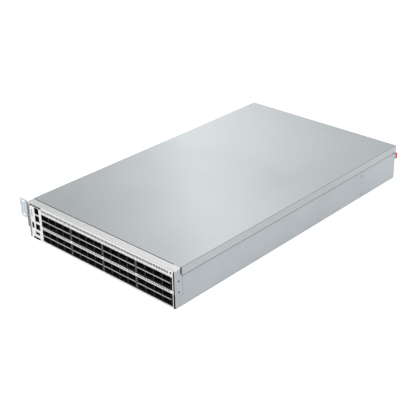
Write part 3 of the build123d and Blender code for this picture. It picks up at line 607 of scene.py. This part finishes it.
def new_metal_group():
    """Rolled or brushed metal: streaks along one direction over a cloudy base."""
    group, given = new_group(
        "rolled_metal",
        [
            ("Colour", "Color", white),
            ("Streak", "Color", white),
            ("Stretch", "Vector", (1.0, 1.0, 1.0)),
            ("Scale", "Float", 500.0),
            ("Roughness", "Float", 0.3),
            ("Depth", "Float", 0.05),
        ],
    )
    place = object_place(group)
    place = reckon(group, "MULTIPLY", place, given["Stretch"], kind="VectorMath")[0]
    streaks = add_texture(group, "Noise", place, given["Scale"], detail=3.0).outputs["Fac"]
    streakiness = rescale(group, streaks, start=0.3, end=0.7)
    colour = blend(group, streakiness, given["Colour"], given["Streak"])
    put_out(group, given, colour, wear=streaks, spread=0.15, height=streaks, relief=0.0002)
    return group


rolled_metal = new_metal_group()
along_x = (0.06, 1.0, 1.0)
along_y = (1.0, 0.06, 1.0)
along_z = (1.0, 1.0, 0.06)

strip_metal = new_finish(
    "strip_metal",
    rolled_metal,
    {"Colour": strip_grey, "Streak": strip_pale, "Stretch": along_z, "Roughness": 0.35},
    metallic=0.5,
)
dress(strip_metal, "side_vent_strip")


# Black sheets lie in shallow pockets behind the air slots of the panel as painted shade, so that
# the slots look dark from every side.
# These near black colours are painted shade behind the slots.
slot_shade_black = (0.014, 0.013, 0.013, 1.0)
slot_shade_grey = (0.035, 0.033, 0.032, 1.0)
shade_sheet_thickness = 0.3 * mm
slot_shade_finish = new_finish(
    "slot_shade_finish",
    rolled_metal,
    {"Colour": slot_shade_black, "Streak": slot_shade_grey, "Scale": 1800.0, "Roughness": 0.55},
    specular=0.1,
)
shape = bmesh.new()
for row in (vent_row, middle_row):
    add_block(
        shape,
        (window_span[0], shade_sheet_front, row[0] - shade_sheet_margin),
        (window_span[1], shade_sheet_front + shade_sheet_thickness, row[1] + shade_sheet_margin),
    )
add_piece("slot_shade_sheets", shape, slot_shade_finish)


# The same black sheet of painted shade lies in the holes of the perforated strip. Each hole shows
# a small square of it, a little below the face.
hole_size = (2.2 * mm, 2.8 * mm)
hole_pitch = 5.3 * mm
hole_inset = 1.35 * mm
first_hole = 3.7 * mm
shade_sheet_depth = 0.12 * mm
shade_sheet_play = 0.02 * mm

strip_low, strip_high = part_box("side_vent_strip")
shape = bmesh.new()
for row in range(int((strip_high.z - strip_low.z - hole_pitch) / hole_pitch)):
    for column, x in enumerate((strip_low.x + hole_inset, strip_high.x - hole_inset)):
        z = strip_low.z + first_hole + hole_pitch * (row + column / 2)
        half_x, half_z = (size / 2 - shade_sheet_play for size in hole_size)
        add_block(
            shape,
            (x - half_x, strip_low.y + shade_sheet_depth, z - half_z),
            (x + half_x, strip_low.y + shade_sheet_depth + shade_sheet_thickness, z + half_z),
        )
add_piece("strip_hole_shade", shape, slot_shade_finish)


# Black strips of painted shade fill three gaps round the front: behind the rail, between the
# panel's right end and the side of the tray, and beside the last port cage.
# These near black colours are painted shade.
shade_fill_black = (0.006, 0.006, 0.007, 1.0)
shade_fill_grey = (0.012, 0.011, 0.012, 1.0)
window_end_dark = (0.016, 0.012, 0.015, 1.0)
fill_inset = 0.35 * mm
fill_bulge = 0.15 * mm
low_bulge = (0.7 * mm, 0.8 * mm, 31.0 * mm)
high_bulge = (0.2 * mm, 0.4 * mm, 80.0 * mm)
fill_sheet = 1.6 * mm
seam_span = (-211.0 * mm, 201.0 * mm)
seam_width = 2.2 * mm
side_sheet = 1.2 * mm


def new_shade_fill_group():
    """Dark fill for painted shade: small round cells, darker at their middles."""
    group, given = new_group(
        "shade_fill_cells",
        [
            ("Colour", "Color", white),
            ("Cell", "Color", white),
            ("Cell Scale", "Float", 1500.0),
            ("Roughness", "Float", 0.85),
            ("Depth", "Float", 0.4),
        ],
    )
    cells = add_texture(group, "Voronoi", object_place(group), given["Cell Scale"])
    cells = cells.outputs["Distance"]
    colour = blend(group, cells, given["Cell"], given["Colour"])
    put_out(group, given, colour, wear=cells, spread=0.1, height=cells, relief=0.0003)
    return group


shade_fill_cells = new_shade_fill_group()
shade_fill = new_finish(
    "shade_fill", shade_fill_cells, {"Colour": shade_fill_grey, "Cell": shade_fill_black}, specular=0.05
)
window_end_fill = new_finish(
    "window_end_fill", shade_fill_cells, {"Colour": window_end_dark, "Cell": shade_fill_black}, specular=0.05
)
rail_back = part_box("front_rail")[1].y
tray_low, tray_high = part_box("chassis_tray")
cover_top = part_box("top_cover")[1].z
shape = bmesh.new()
add_block(
    shape,
    (seam_span[0], rail_back, cover_top - fill_sheet),
    (seam_span[1], rail_back + seam_width, cover_top - fill_inset),
)
add_block(
    shape,
    (panel_high.x, front + fill_inset, tray_low.z + side_sheet),
    (tray_high.x - side_sheet, panel_high.y, panel_high.z - fill_inset),
)
start = tray_low.z + side_sheet
for left_reach, right_reach, top in (low_bulge, high_bulge):
    add_block(
        shape,
        (panel_high.x - left_reach, front - fill_bulge, start),
        (tray_high.x - side_sheet + right_reach, front, top),
    )
    start = top
add_piece("gap_shade_strips", shape, shade_fill)
shape = bmesh.new()
for row in window_rows:
    add_block(
        shape,
        (cage_spans[-1][1] + fill_inset, front + fill_inset, row[0]),
        (window_span[1], front + fill_sheet, row[1]),
    )
add_piece("window_end_shade", shape, window_end_fill)


# Thin black strips of painted shade cover the sill and the left edge of each window, with lips
# turned over the face, and four short ones lie along the slit above the sockets.
shade_strip_sheet = 0.15 * mm
shade_strip_lips = (1.0 * mm, 1.7 * mm)
shade_strip_top = 0.6 * mm
shade_strip_proud = 0.1 * mm
slit_lip = 2.0 * mm
slit_dashes = 4
dash_share = 0.8
shade_strip_black = new_finish(
    "shade_strip_black",
    shade_fill_cells,
    {"Colour": shade_fill_grey, "Cell": shade_fill_black, "Depth": 0.1},
    specular=0.05,
)
shape = bmesh.new()
for row, lip in zip(window_rows, shade_strip_lips):
    edge = (window_span[0], front - shade_strip_proud, row[0])
    add_block(shape, edge, (window_span[1], front + panel_sheet, row[0] + shade_strip_sheet))
    add_block(shape, (edge[0], edge[1], row[0] - lip), (window_span[1], front, row[0]))
    add_block(shape, (edge[0], edge[1], row[1]), (window_span[1], front, row[1] + shade_strip_top))
    side_edge = (window_span[0], edge[1], row[0] + shade_strip_sheet)
    add_block(shape, side_edge, (window_span[0] + shade_strip_sheet, front + panel_sheet, row[1]))
dash = (slit_span[1] - slit_span[0]) / slit_dashes
for index in range(slit_dashes):
    left = slit_span[0] + index * dash
    low_corner = (left, front - shade_strip_proud, slit_row[0] - slit_lip)
    add_block(shape, low_corner, (left + dash_share * dash, front, slit_row[0]))
add_piece("window_shade_strips", shape, shade_strip_black)


# A black strip of painted shade lies under the lower edge of each cover flange, along its whole
# length, and shows as a fine dark line on the side of the tray.
shade_line_height = 1.2 * mm
shade_line_sheet = 0.9 * mm
shade_line_start = 19.5 * mm
shade_line_inset = 0.5 * mm
cover_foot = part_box("top_cover")[0].z
shape = bmesh.new()
for side in (-1, 1):
    wall = tray_high.x if side > 0 else tray_low.x
    ends = sorted((wall, wall + side * shade_line_sheet))
    add_block(
        shape,
        (ends[0], tray_low.y + shade_line_start, cover_foot - shade_line_height),
        (ends[1], tray_high.y - shade_line_inset, cover_foot),
    )
add_piece("flange_shade_lines", shape, shade_fill)


# The rack ear is a bent steel angle with two level slots, coated a pale bluish grey. Two zinc
# plated hexagon screws hold its leg to the side of the tray.
ear_blue = (0.50, 0.55, 0.595, 1.0)
ear_cloud = (0.54, 0.585, 0.63, 1.0)
ear_edge = (0.85, 0.88, 0.90, 1.0)
zinc = (0.55, 0.56, 0.58, 1.0)
zinc_pale = (0.68, 0.69, 0.70, 1.0)

# The ear's coat has painted shade in its crevices and a painted highlight on its edges.
ear_coat = new_finish(
    "ear_coat",
    powder_coat,
    {"Colour": ear_blue, "Cloud": ear_cloud, "Edge": ear_edge, "Edge Width": 0.0005},
)
dress(ear_coat, "rack_ear")

screw_metal = new_finish(
    "screw_metal",
    rolled_metal,
    {"Colour": zinc, "Streak": zinc_pale, "Scale": 900.0, "Roughness": 0.25},
    metallic=1.0,
)
dress(screw_metal, "ear_screws")


# Each port cage is a stamped and plated box of eight bays that stands on the main board; its
# metal is coloured near black as painted shade for the dark inside of its bays. A bright bar
# closes the gap between its two rows.
# The cage's near black colour is painted shade.
cage_shade_black = (0.012, 0.012, 0.013, 1.0)
cage_shade_streak = (0.020, 0.020, 0.021, 1.0)
bar_grey = (0.42, 0.42, 0.415, 1.0)
bar_pale = (0.52, 0.52, 0.515, 1.0)
bar_sheet = 0.4 * mm
bar_rows = ((17.5 * mm, 19.3 * mm), (53.5 * mm, 55.3 * mm))

cage_metal = new_finish(
    "cage_metal",
    rolled_metal,
    {"Colour": cage_shade_black, "Streak": cage_shade_streak, "Stretch": along_y, "Roughness": 0.5},
    specular=0.12,
)
bar_metal = new_finish(
    "bar_metal",
    rolled_metal,
    {"Colour": bar_grey, "Streak": bar_pale, "Stretch": along_x, "Roughness": 0.35},
    metallic=0.2,
)
for group in groups:
    for level, row in zip(("lower", "upper"), bar_rows):
        cage = f"port_cage_{level}_{group}"
        dress(cage_metal, cage)
        low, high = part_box(cage)
        shape = bmesh.new()
        add_block(shape, (low.x, low.y - bar_sheet, row[0]), (high.x, low.y, row[1]))
        add_piece(f"cage_bar_{level}_{group}", shape, bar_metal)


# Behind the cages sit black connector blocks. Each bay ends in a slotted mouth with two rows of
# gold contacts.
black_plastic = (0.010, 0.010, 0.011, 1.0)
black_pale = (0.016, 0.016, 0.017, 1.0)
gold = (0.72, 0.50, 0.22, 1.0)
gold_pale = (0.82, 0.62, 0.32, 1.0)
bay_size = (21.1 * mm, 10.6 * mm)
bay_pitch = 23.1 * mm
row_pitch = 14.0 * mm
cage_columns = 4
cage_rows = 2
cage_skin = 0.85 * mm
cage_feet = (5.45 * mm, 41.45 * mm)
mouth_size = (17.0 * mm, 5.4 * mm)
mouth_depth = 9.0 * mm
mouth_slot = (13.6 * mm, 1.6 * mm)
contact_width = 0.5 * mm
contact_pitch = 1.0 * mm
contact_inset = 0.5 * mm
contact_thickness = 0.15 * mm


def new_plastic_group():
    """Moulded plastic: a fine even grain with faint flow marks."""
    group, given = new_group(
        "moulded_plastic",
        [
            ("Colour", "Color", white),
            ("Flow", "Color", white),
            ("Flow Scale", "Float", 60.0),
            ("Grain Scale", "Float", 2200.0),
            ("Roughness", "Float", 0.45),
            ("Depth", "Float", 0.08),
        ],
    )
    place = object_place(group)
    flow = add_texture(group, "Noise", place, given["Flow Scale"], detail=3.0).outputs["Fac"]
    colour = blend(group, flow, given["Colour"], given["Flow"])
    grain = add_texture(group, "Voronoi", place, given["Grain Scale"]).outputs["Distance"]
    put_out(group, given, colour, wear=grain, spread=0.15, height=grain, relief=0.0002)
    return group


moulded_plastic = new_plastic_group()
connector_black = new_finish(
    "connector_black",
    moulded_plastic,
    {"Colour": black_plastic, "Flow": black_pale, "Roughness": 0.55},
    specular=0.12,
)
contact_gold = new_finish(
    "contact_gold",
    rolled_metal,
    {"Colour": gold, "Streak": gold_pale, "Roughness": 0.2},
    metallic=1.0,
)
dress(connector_black, "port_connectors")

connector_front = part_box("port_connectors")[0].y
mouths = bmesh.new()
contacts = bmesh.new()


def add_mouth(x, z):
    """Adds a mouth round a point, with a row of contacts on either side of its slot."""
    start = connector_front - mouth_depth
    jaw = (mouth_size[1] - mouth_slot[1]) / 2
    count = int(mouth_slot[0] / contact_pitch)
    for side in (-1, 1):
        middle = z + side * (mouth_slot[1] + jaw) / 2
        add_block(
            mouths,
            (x - mouth_size[0] / 2, start, middle - jaw / 2),
            (x + mouth_size[0] / 2, connector_front, middle + jaw / 2),
        )
        edge = z + side * mouth_slot[1] / 2
        ends = sorted((edge, edge - side * contact_thickness))
        for index in range(count):
            place = x + (index - (count - 1) / 2) * contact_pitch
            add_block(
                contacts,
                (place - contact_width / 2, start + contact_inset, ends[0]),
                (place + contact_width / 2, connector_front, ends[1]),
            )


for span in cage_spans:
    for foot in cage_feet:
        for column in range(cage_columns):
            for row in range(cage_rows):
                add_mouth(
                    span[0] + cage_skin + bay_size[0] / 2 + column * bay_pitch,
                    foot + cage_skin + bay_size[1] / 2 + row * row_pitch,
                )
add_piece("port_mouths", mouths, connector_black)
add_piece("port_contacts", contacts, contact_gold)


# Sprung steel gaskets close the gaps between the cages. Each is a comb of rounded fingers that
# press on the panel from behind.
gasket_grey = (0.050, 0.050, 0.049, 1.0)
gasket_pale = (0.075, 0.075, 0.073, 1.0)
finger_pitch = 3.3 * mm
finger_height = 2.7 * mm
finger_reach = 0.35 * mm
finger_margin = 0.4 * mm
finger_round = 0.3 * mm
gap_width = 4.35 * mm
cage_height = 26.3 * mm

gasket_metal = new_finish(
    "gasket_metal",
    rolled_metal,
    {"Colour": gasket_grey, "Streak": gasket_pale, "Stretch": along_z, "Roughness": 0.4},
    metallic=0.3,
)
dress(gasket_metal, "cage_gaskets")

fingers = bmesh.new()
gasket_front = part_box("cage_gaskets")[0].y
for left, right in cage_spans[:-1]:
    for foot in cage_feet:
        count = int(cage_height / finger_pitch)
        first = foot + (cage_height - (count - 1) * finger_pitch) / 2
        for index in range(count):
            z = first + index * finger_pitch
            corners = add_block(
                fingers,
                (right + finger_margin, gasket_front - finger_reach, z - finger_height / 2),
                (right + gap_width - finger_margin, gasket_front, z + finger_height / 2),
            )
            tip = [v for v in corners if v.co.y < gasket_front - finger_reach / 2]
            edges = dict.fromkeys(edge for corner in tip for edge in corner.link_edges)
            bmesh.ops.bevel(
                fingers,
                geom=[edge for edge in edges if all(v in tip for v in edge.verts)],
                offset=finger_round,
                segments=2,
                affect="EDGES",
            )
add_piece("gasket_fingers", fingers, gasket_metal)


# The light pipes are clear mouldings whose toothed front edges show above each group of ports.
# Five small round ones stand in a column at the left.
pipe_white = (0.66, 0.655, 0.64, 1.0)
pipe_pale = (0.78, 0.775, 0.765, 1.0)
rib_white = (0.84, 0.835, 0.82, 1.0)
rib_pale = (0.90, 0.895, 0.885, 1.0)
rib_width = 1.7 * mm
rib_inset = 0.15 * mm
rib_margin = 0.25 * mm
rib_depth = 1.3 * mm
lens_grey = (0.025, 0.025, 0.025, 1.0)
lens_sheet = 0.15 * mm
lens_rim = 0.5 * mm

pipe_plastic = new_finish(
    "pipe_plastic", moulded_plastic, {"Colour": pipe_white, "Flow": pipe_pale, "Roughness": 0.25}
)
dress(pipe_plastic, "light_pipes")
rib_plastic = new_finish(
    "rib_plastic", moulded_plastic, {"Colour": rib_white, "Flow": rib_pale, "Roughness": 0.3}
)
ribs = bmesh.new()
for left, right in cage_spans:
    for index in range(int((right - left) / middle_pitch)):
        x = left + (index + 0.5) * middle_pitch
        add_block(
            ribs,
            (x - rib_width / 2, front + rib_inset, pipe_row[0] + rib_margin),
            (x + rib_width / 2, front + rib_depth, pipe_row[1] - rib_margin),
        )
add_piece("light_pipe_ribs", ribs, rib_plastic)
lens_plastic = new_finish(
    "lens_plastic",
    moulded_plastic,
    {"Colour": lens_grey, "Flow": lens_grey, "Roughness": 0.3},
    specular=0.12,
)
lenses = bmesh.new()
for z in status_rows:
    start = (status_x, front - lens_sheet, z)
    add_rod(lenses, start, lens_sheet, status_radius + lens_rim, (0, 1, 0))
add_piece("status_lenses", lenses, lens_plastic)


# Three shielded jacks stand on their sides at the left. Each has a tinned shell, a black lining
# with a notch for the plug's tab, whose thin face reaches a little past the jack onto the panel
# as painted shade for the gap round it, and eight gold wires.
tin_grey = (0.66, 0.66, 0.67, 1.0)
tin_pale = (0.76, 0.76, 0.77, 1.0)
lining = 0.35 * mm
cavity_left = 3.1 * mm
cavity_margin = 0.9 * mm
cavity_depth = 15.6 * mm
cavity_lip = 1.15 * mm
face_sheet = 0.15 * mm
# The rim past the jack is painted shade.
jack_shade_rim = 0.6 * mm
notch_width = 2.2 * mm
notch_height = 6.5 * mm
wires = 8
wire_pitch = 1.02 * mm
wire_width = 0.4 * mm
wire_start = 2.5 * mm
wire_reach = 2.2 * mm

jack_tin = new_finish(
    "jack_tin",
    rolled_metal,
    {"Colour": tin_grey, "Streak": tin_pale, "Stretch": along_y, "Roughness": 0.3},
    metallic=0.4,
)
jack_names = ("network_jack_upper", "network_jack_lower", "console_jack")
dress(jack_tin, *jack_names)

for name in jack_names:
    low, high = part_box(name)
    left = low.x + cavity_left
    right = high.x - cavity_margin
    back = low.y + cavity_depth
    z_span = (low.z + cavity_lip, high.z - cavity_lip)
    middle = (low.z + high.z) / 2
    shape = bmesh.new()
    add_block(shape, (left, back - lining, z_span[0]), (right, back, z_span[1]))
    add_block(shape, (right - lining, low.y, z_span[0]), (right, back - lining, z_span[1]))
    for z in (z_span[0], z_span[1] - lining):
        add_block(shape, (left, low.y, z), (right - lining, back - lining, z + lining))
    for side in (-1, 1):
        outer = middle + side * (z_span[1] - z_span[0]) / 2
        inner = middle + side * notch_height / 2
        ends = sorted((outer, inner))
        add_block(shape, (left, low.y, ends[0]), (left + lining, back - lining, ends[1]))
        edge = sorted((inner, inner - side * lining))
        add_block(
            shape,
            (left - notch_width + lining, low.y, edge[0]),
            (left + lining, back - lining, edge[1]),
        )
    add_block(
        shape,
        (left - notch_width, low.y, middle - notch_height / 2),
        (left - notch_width + lining, back - lining, middle + notch_height / 2),
    )
    add_block(
        shape,
        (left - notch_width + lining, back - lining, middle - notch_height / 2),
        (left, back, middle + notch_height / 2),
    )
    face = (low.y - face_sheet, low.y)
    rim = (low.x - jack_shade_rim, high.x + jack_shade_rim, low.z - jack_shade_rim, high.z + jack_shade_rim)
    add_block(shape, (right, face[0], rim[2]), (rim[1], face[1], rim[3]))
    for ends in ((rim[2], z_span[0]), (z_span[1], rim[3])):
        add_block(shape, (rim[0], face[0], ends[0]), (right, face[1], ends[1]))
    for side in (-1, 1):
        outer = middle + side * (z_span[1] - z_span[0]) / 2
        ends = sorted((outer, middle + side * notch_height / 2))
        add_block(shape, (rim[0], face[0], ends[0]), (left, face[1], ends[1]))
    add_block(
        shape,
        (rim[0], face[0], middle - notch_height / 2),
        (left - notch_width, face[1], middle + notch_height / 2),
    )
    add_piece(f"{name}_lining", shape, connector_black)
    shape = bmesh.new()
    for index in range(wires):
        z = middle + (index - (wires - 1) / 2) * wire_pitch
        slant = add_block(
            shape,
            (right - lining - wire_width, low.y + wire_start, z - wire_width / 2),
            (right - lining, back - lining, z + wire_width / 2),
        )
        for corner in slant:
            if corner.co.y > low.y + cavity_depth / 2:
                corner.co.x -= wire_reach
    add_piece(f"{name}_wires", shape, contact_gold)


# A small teal lamp shows on the flange of the lower network jack, at its foot. It is a moulded
# light guide that stands a little proud of the flange.
lamp_teal = (0.22, 0.66, 0.64, 1.0)
lamp_pale = (0.32, 0.76, 0.74, 1.0)
lamp_start = Vector((5.4 * mm, -0.25 * mm, -0.45 * mm))
lamp_end = Vector((12.4 * mm, -face_sheet, 0.95 * mm))
lamp_plastic = new_finish(
    "lamp_plastic", moulded_plastic, {"Colour": lamp_teal, "Flow": lamp_pale, "Roughness": 0.2}
)
jack_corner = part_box("network_jack_lower")[0]
shape = bmesh.new()
add_block(shape, jack_corner + lamp_start, jack_corner + lamp_end)
add_piece("jack_lamp", shape, lamp_plastic)


# Two flat sockets sit beside and under the jacks, one upright and one level. They are tinned
# shells lined with black, whose tongues carry four gold contacts each; the lining's face reaches
# a little past each socket onto the panel as painted shade for the gap round it.
usb_skin = 0.5 * mm
usb_shade_rim = 0.3 * mm
usb_cavity = 12.6 * mm
usb_tongue = 1.3 * mm
usb_tongue_gap = 0.9 * mm
usb_contacts = 4
usb_contact = 1.0 * mm
usb_contact_pitch = 2.2 * mm
usb_contact_ends = (1.4 * mm, 9.0 * mm)
dress(jack_tin, "usb_port_side", "usb_port_low")


def add_lining(shape, x_span, y_span, z_span):
    """Thin walls inside a pocket that is open at its front."""
    back = y_span[1] - lining
    add_block(shape, (x_span[0], back, z_span[0]), (x_span[1], y_span[1], z_span[1]))
    for x in (x_span[0], x_span[1] - lining):
        add_block(shape, (x, y_span[0], z_span[0]), (x + lining, back, z_span[1]))
    for z in (z_span[0], z_span[1] - lining):
        add_block(
            shape,
            (x_span[0] + lining, y_span[0], z),
            (x_span[1] - lining, back, z + lining),
        )


for name, upright in (("usb_port_side", True), ("usb_port_low", False)):
    low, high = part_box(name)
    shape = bmesh.new()
    x_span = (low.x + usb_skin, high.x - usb_skin)
    z_span = (low.z + usb_skin, high.z - usb_skin)
    add_lining(shape, x_span, (low.y, low.y + usb_cavity), z_span)
    face = (low.y - face_sheet, low.y)
    rim = (low.x - usb_shade_rim, high.x + usb_shade_rim, low.z - usb_shade_rim, high.z + usb_shade_rim)
    for ends in ((rim[2], z_span[0]), (z_span[1], rim[3])):
        add_block(shape, (rim[0], face[0], ends[0]), (rim[1], face[1], ends[1]))
    for ends in ((rim[0], x_span[0]), (x_span[1], rim[1])):
        add_block(shape, (ends[0], face[0], z_span[0]), (ends[1], face[1], z_span[1]))
    add_piece(f"{name}_lining", shape, connector_black)
    shape = bmesh.new()
    start, end = (low.y + reach for reach in usb_contact_ends)
    for index in range(usb_contacts):
        shift = (index - (usb_contacts - 1) / 2) * usb_contact_pitch
        if upright:
            face = high.x - usb_tongue_gap - usb_tongue
            middle = (low.z + high.z) / 2 + shift
            lowest = (face - contact_thickness, start, middle - usb_contact / 2)
            highest = (face, end, middle + usb_contact / 2)
        else:
            face = high.z - usb_tongue_gap - usb_tongue
            middle = (low.x + high.x) / 2 + shift
            lowest = (middle - usb_contact / 2, start, face - contact_thickness)
            highest = (middle + usb_contact / 2, end, face)
        add_block(shape, lowest, highest)
    add_piece(f"{name}_contacts", shape, contact_gold)


# The pull-out tag is a dark moulded plastic card with a lip at its front. It slides in a slot at
# the foot of the panel.
tag_dark = (0.010, 0.010, 0.013, 1.0)
tag_pale = (0.016, 0.016, 0.019, 1.0)
tag_plastic = new_finish(
    "tag_plastic",
    moulded_plastic,
    {"Colour": tag_dark, "Flow": tag_pale, "Roughness": 0.5},
    specular=0.12,
)
dress(tag_plastic, "id_tag")


# The reset button is a black plastic pin, sunk in the round hole at the right end of the panel. A
# thin black ring on the face round the hole is painted shade that widens the dark of the hole.
shade_ring_radius = 2.3 * mm
shade_ring_sheet = 0.15 * mm
shade_ring_sides = 32
dress(connector_black, "reset_button")
shape = bmesh.new()
rings = []
for radius, y in (
    (reset_radius, front),
    (reset_radius, front - shade_ring_sheet),
    (shade_ring_radius, front - shade_ring_sheet),
    (shade_ring_radius, front),
):
    ring = []
    for index in range(shade_ring_sides):
        angle = 2 * math.pi * index / shade_ring_sides
        x = reset_x + radius * math.cos(angle)
        z = reset_z + radius * math.sin(angle)
        ring.append(shape.verts.new((x, y, z)))
    rings.append(ring)
for inner, outer in zip(rings, rings[1:] + rings[:1]):
    for index in range(shade_ring_sides):
        following = (index + 1) % shade_ring_sides
        shape.faces.new((inner[index], inner[following], outer[following], outer[index]))
bmesh.ops.recalc_face_normals(shape, faces=shape.faces)
add_piece("reset_shade_ring", shape, connector_black)


# The boards are green laminates with a satin solder mask; faint tracks show through it. They
# stand on steel posts, with the memory modules plugged into the processor board.
board_green = (0.012, 0.060, 0.030, 1.0)
board_track = (0.022, 0.095, 0.048, 1.0)
track_pale = (0.3, 0.3, 0.3, 1.0)
track_gap = (0.0, 0.0, 0.0, 1.0)


def new_board_group():
    """Solder mask over copper: straight tracks a little paler than the ground."""
    group, given = new_group(
        "solder_mask",
        [
            ("Colour", "Color", white),
            ("Track", "Color", white),
            ("Track Scale", "Float", 420.0),
            ("Roughness", "Float", 0.35),
            ("Depth", "Float", 0.3),
        ],
    )
    tracks = add_texture(group, "Brick", object_place(group), given["Track Scale"])
    tracks.inputs["Color1"].default_value = white
    tracks.inputs["Color2"].default_value = track_pale
    tracks.inputs["Mortar"].default_value = track_gap
    tracks.inputs["Mortar Size"].default_value = 0.06
    relief = tracks.outputs["Color"]
    colour = blend(group, relief, given["Colour"], given["Track"])
    wear = tracks.outputs["Fac"]
    put_out(group, given, colour, wear=wear, spread=0.1, height=relief, relief=0.0001)
    return group


solder_mask = new_board_group()
board_resin = new_finish(
    "board_resin", solder_mask, {"Colour": board_green, "Track": board_track}
)
dress(board_resin, "main_board", "side_board", "cpu_board", "power_board", "fan_board")
dress(board_resin, "memory_modules")
dress(screw_metal, "board_fixings")


# The switch chip is soldered to the main board, and its heat sink is screwed down over it. Its
# lid is nickel plated copper.
lid_grey = (0.50, 0.50, 0.50, 1.0)
lid_metal = new_finish(
    "lid_metal",
    rolled_metal,
    {"Colour": lid_grey, "Streak": tin_grey, "Roughness": 0.3},
    metallic=0.9,
)
dress(lid_metal, "switch_chip")


# The storage module is a small drive in a black moulded case. It is fixed inside the chassis and
# finished like the connectors.
dress(connector_black, "storage_module")


# The two heat sinks are extruded aluminium with straight fins, left bare and screwed down over
# the switch chip and the processor.
aluminium = (0.72, 0.73, 0.74, 1.0)
aluminium_pale = (0.82, 0.83, 0.84, 1.0)
sink_metal = new_finish(
    "sink_metal",
    rolled_metal,
    {"Colour": aluminium, "Streak": aluminium_pale, "Stretch": along_y, "Roughness": 0.3},
    metallic=1.0,
)
dress(sink_metal, "switch_heatsink", "cpu_heatsink")


# Two bus bars carry the current from the power board to the main board. They are flat strips of
# bare copper, sheared to length, that lie on the main board at one end.
copper = (0.62, 0.28, 0.14, 1.0)
copper_pale = (0.75, 0.40, 0.24, 1.0)
bar_copper = new_finish(
    "bar_copper",
    rolled_metal,
    {"Colour": copper, "Streak": copper_pale, "Stretch": along_y, "Roughness": 0.25},
    metallic=1.0,
)
dress(bar_copper, "bus_bars")


# The rear bays are folded from zinc plated sheet, and so are the fan trays and the cases of the
# power supplies that slide into them.
sheet_grey = (0.50, 0.51, 0.52, 1.0)
sheet_pale = (0.60, 0.61, 0.62, 1.0)
sheet_look = {"Colour": sheet_grey, "Streak": sheet_pale, "Scale": 300.0, "Roughness": 0.35}
bay_metal = new_finish(
    "bay_metal",
    rolled_metal,
    sheet_look | {"Stretch": along_y},
    metallic=0.8,
)
tray_metal = new_finish(
    "tray_metal",
    rolled_metal,
    sheet_look | {"Stretch": along_x},
    metallic=0.8,
)
dress(bay_metal, "fan_bay_frame", "psu_shelf")


# Each fan tray has a ducted fan behind a slotted grille, a strip handle and a red latch that the
# thumb presses towards the handle.
latch_colour = (0.52, 0.010, 0.022, 1.0)
latch_pale = (0.62, 0.016, 0.030, 1.0)
fan_black = (0.014, 0.014, 0.015, 1.0)
fan_pale = (0.024, 0.024, 0.025, 1.0)
trays = (1, 2, 3, 4)
latch_red = new_finish(
    "latch_red", moulded_plastic, {"Colour": latch_colour, "Flow": latch_pale, "Roughness": 0.3}
)
fan_plastic = new_finish(
    "fan_plastic", moulded_plastic, {"Colour": fan_black, "Flow": fan_pale, "Roughness": 0.4}
)
for tray in trays:
    dress(tray_metal, f"fan_tray_{tray}")
    dress(fan_plastic, f"fan_rotor_{tray}")
    dress(latch_red, f"fan_latch_{tray}")


# The two power supplies are stacked at the left of the rear. Each has a small fan, a mains inlet
# with three plated pins, a handle and a red latch.
pin_places = ((-7.0 * mm, -2.0 * mm), (0.0, 3.0 * mm), (7.0 * mm, -2.0 * mm))
pin_size = (1.05 * mm, 2.55 * mm)
inlet_recess = 17.0 * mm
inlet_depth = 22.0 * mm
pin_length = 12.05 * mm
supplies = (1, 2)
for supply in supplies:
    dress(tray_metal, f"psu_case_{supply}")
    dress(fan_plastic, f"psu_rotor_{supply}")
    dress(latch_red, f"psu_latch_{supply}")
    dress(connector_black, f"psu_inlet_{supply}")
    low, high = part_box(f"psu_inlet_{supply}")
    middle = (low + high) / 2
    bottom = low.y + inlet_depth - inlet_recess
    shape = bmesh.new()
    for x, z in pin_places:
        add_block(
            shape,
            (middle.x + x - pin_size[0], bottom, middle.z + z - pin_size[1]),
            (middle.x + x + pin_size[0], bottom + pin_length, middle.z + z + pin_size[1]),
        )
    add_piece(f"psu_inlet_pins_{supply}", shape, screw_metal, f"psu_{supply}")
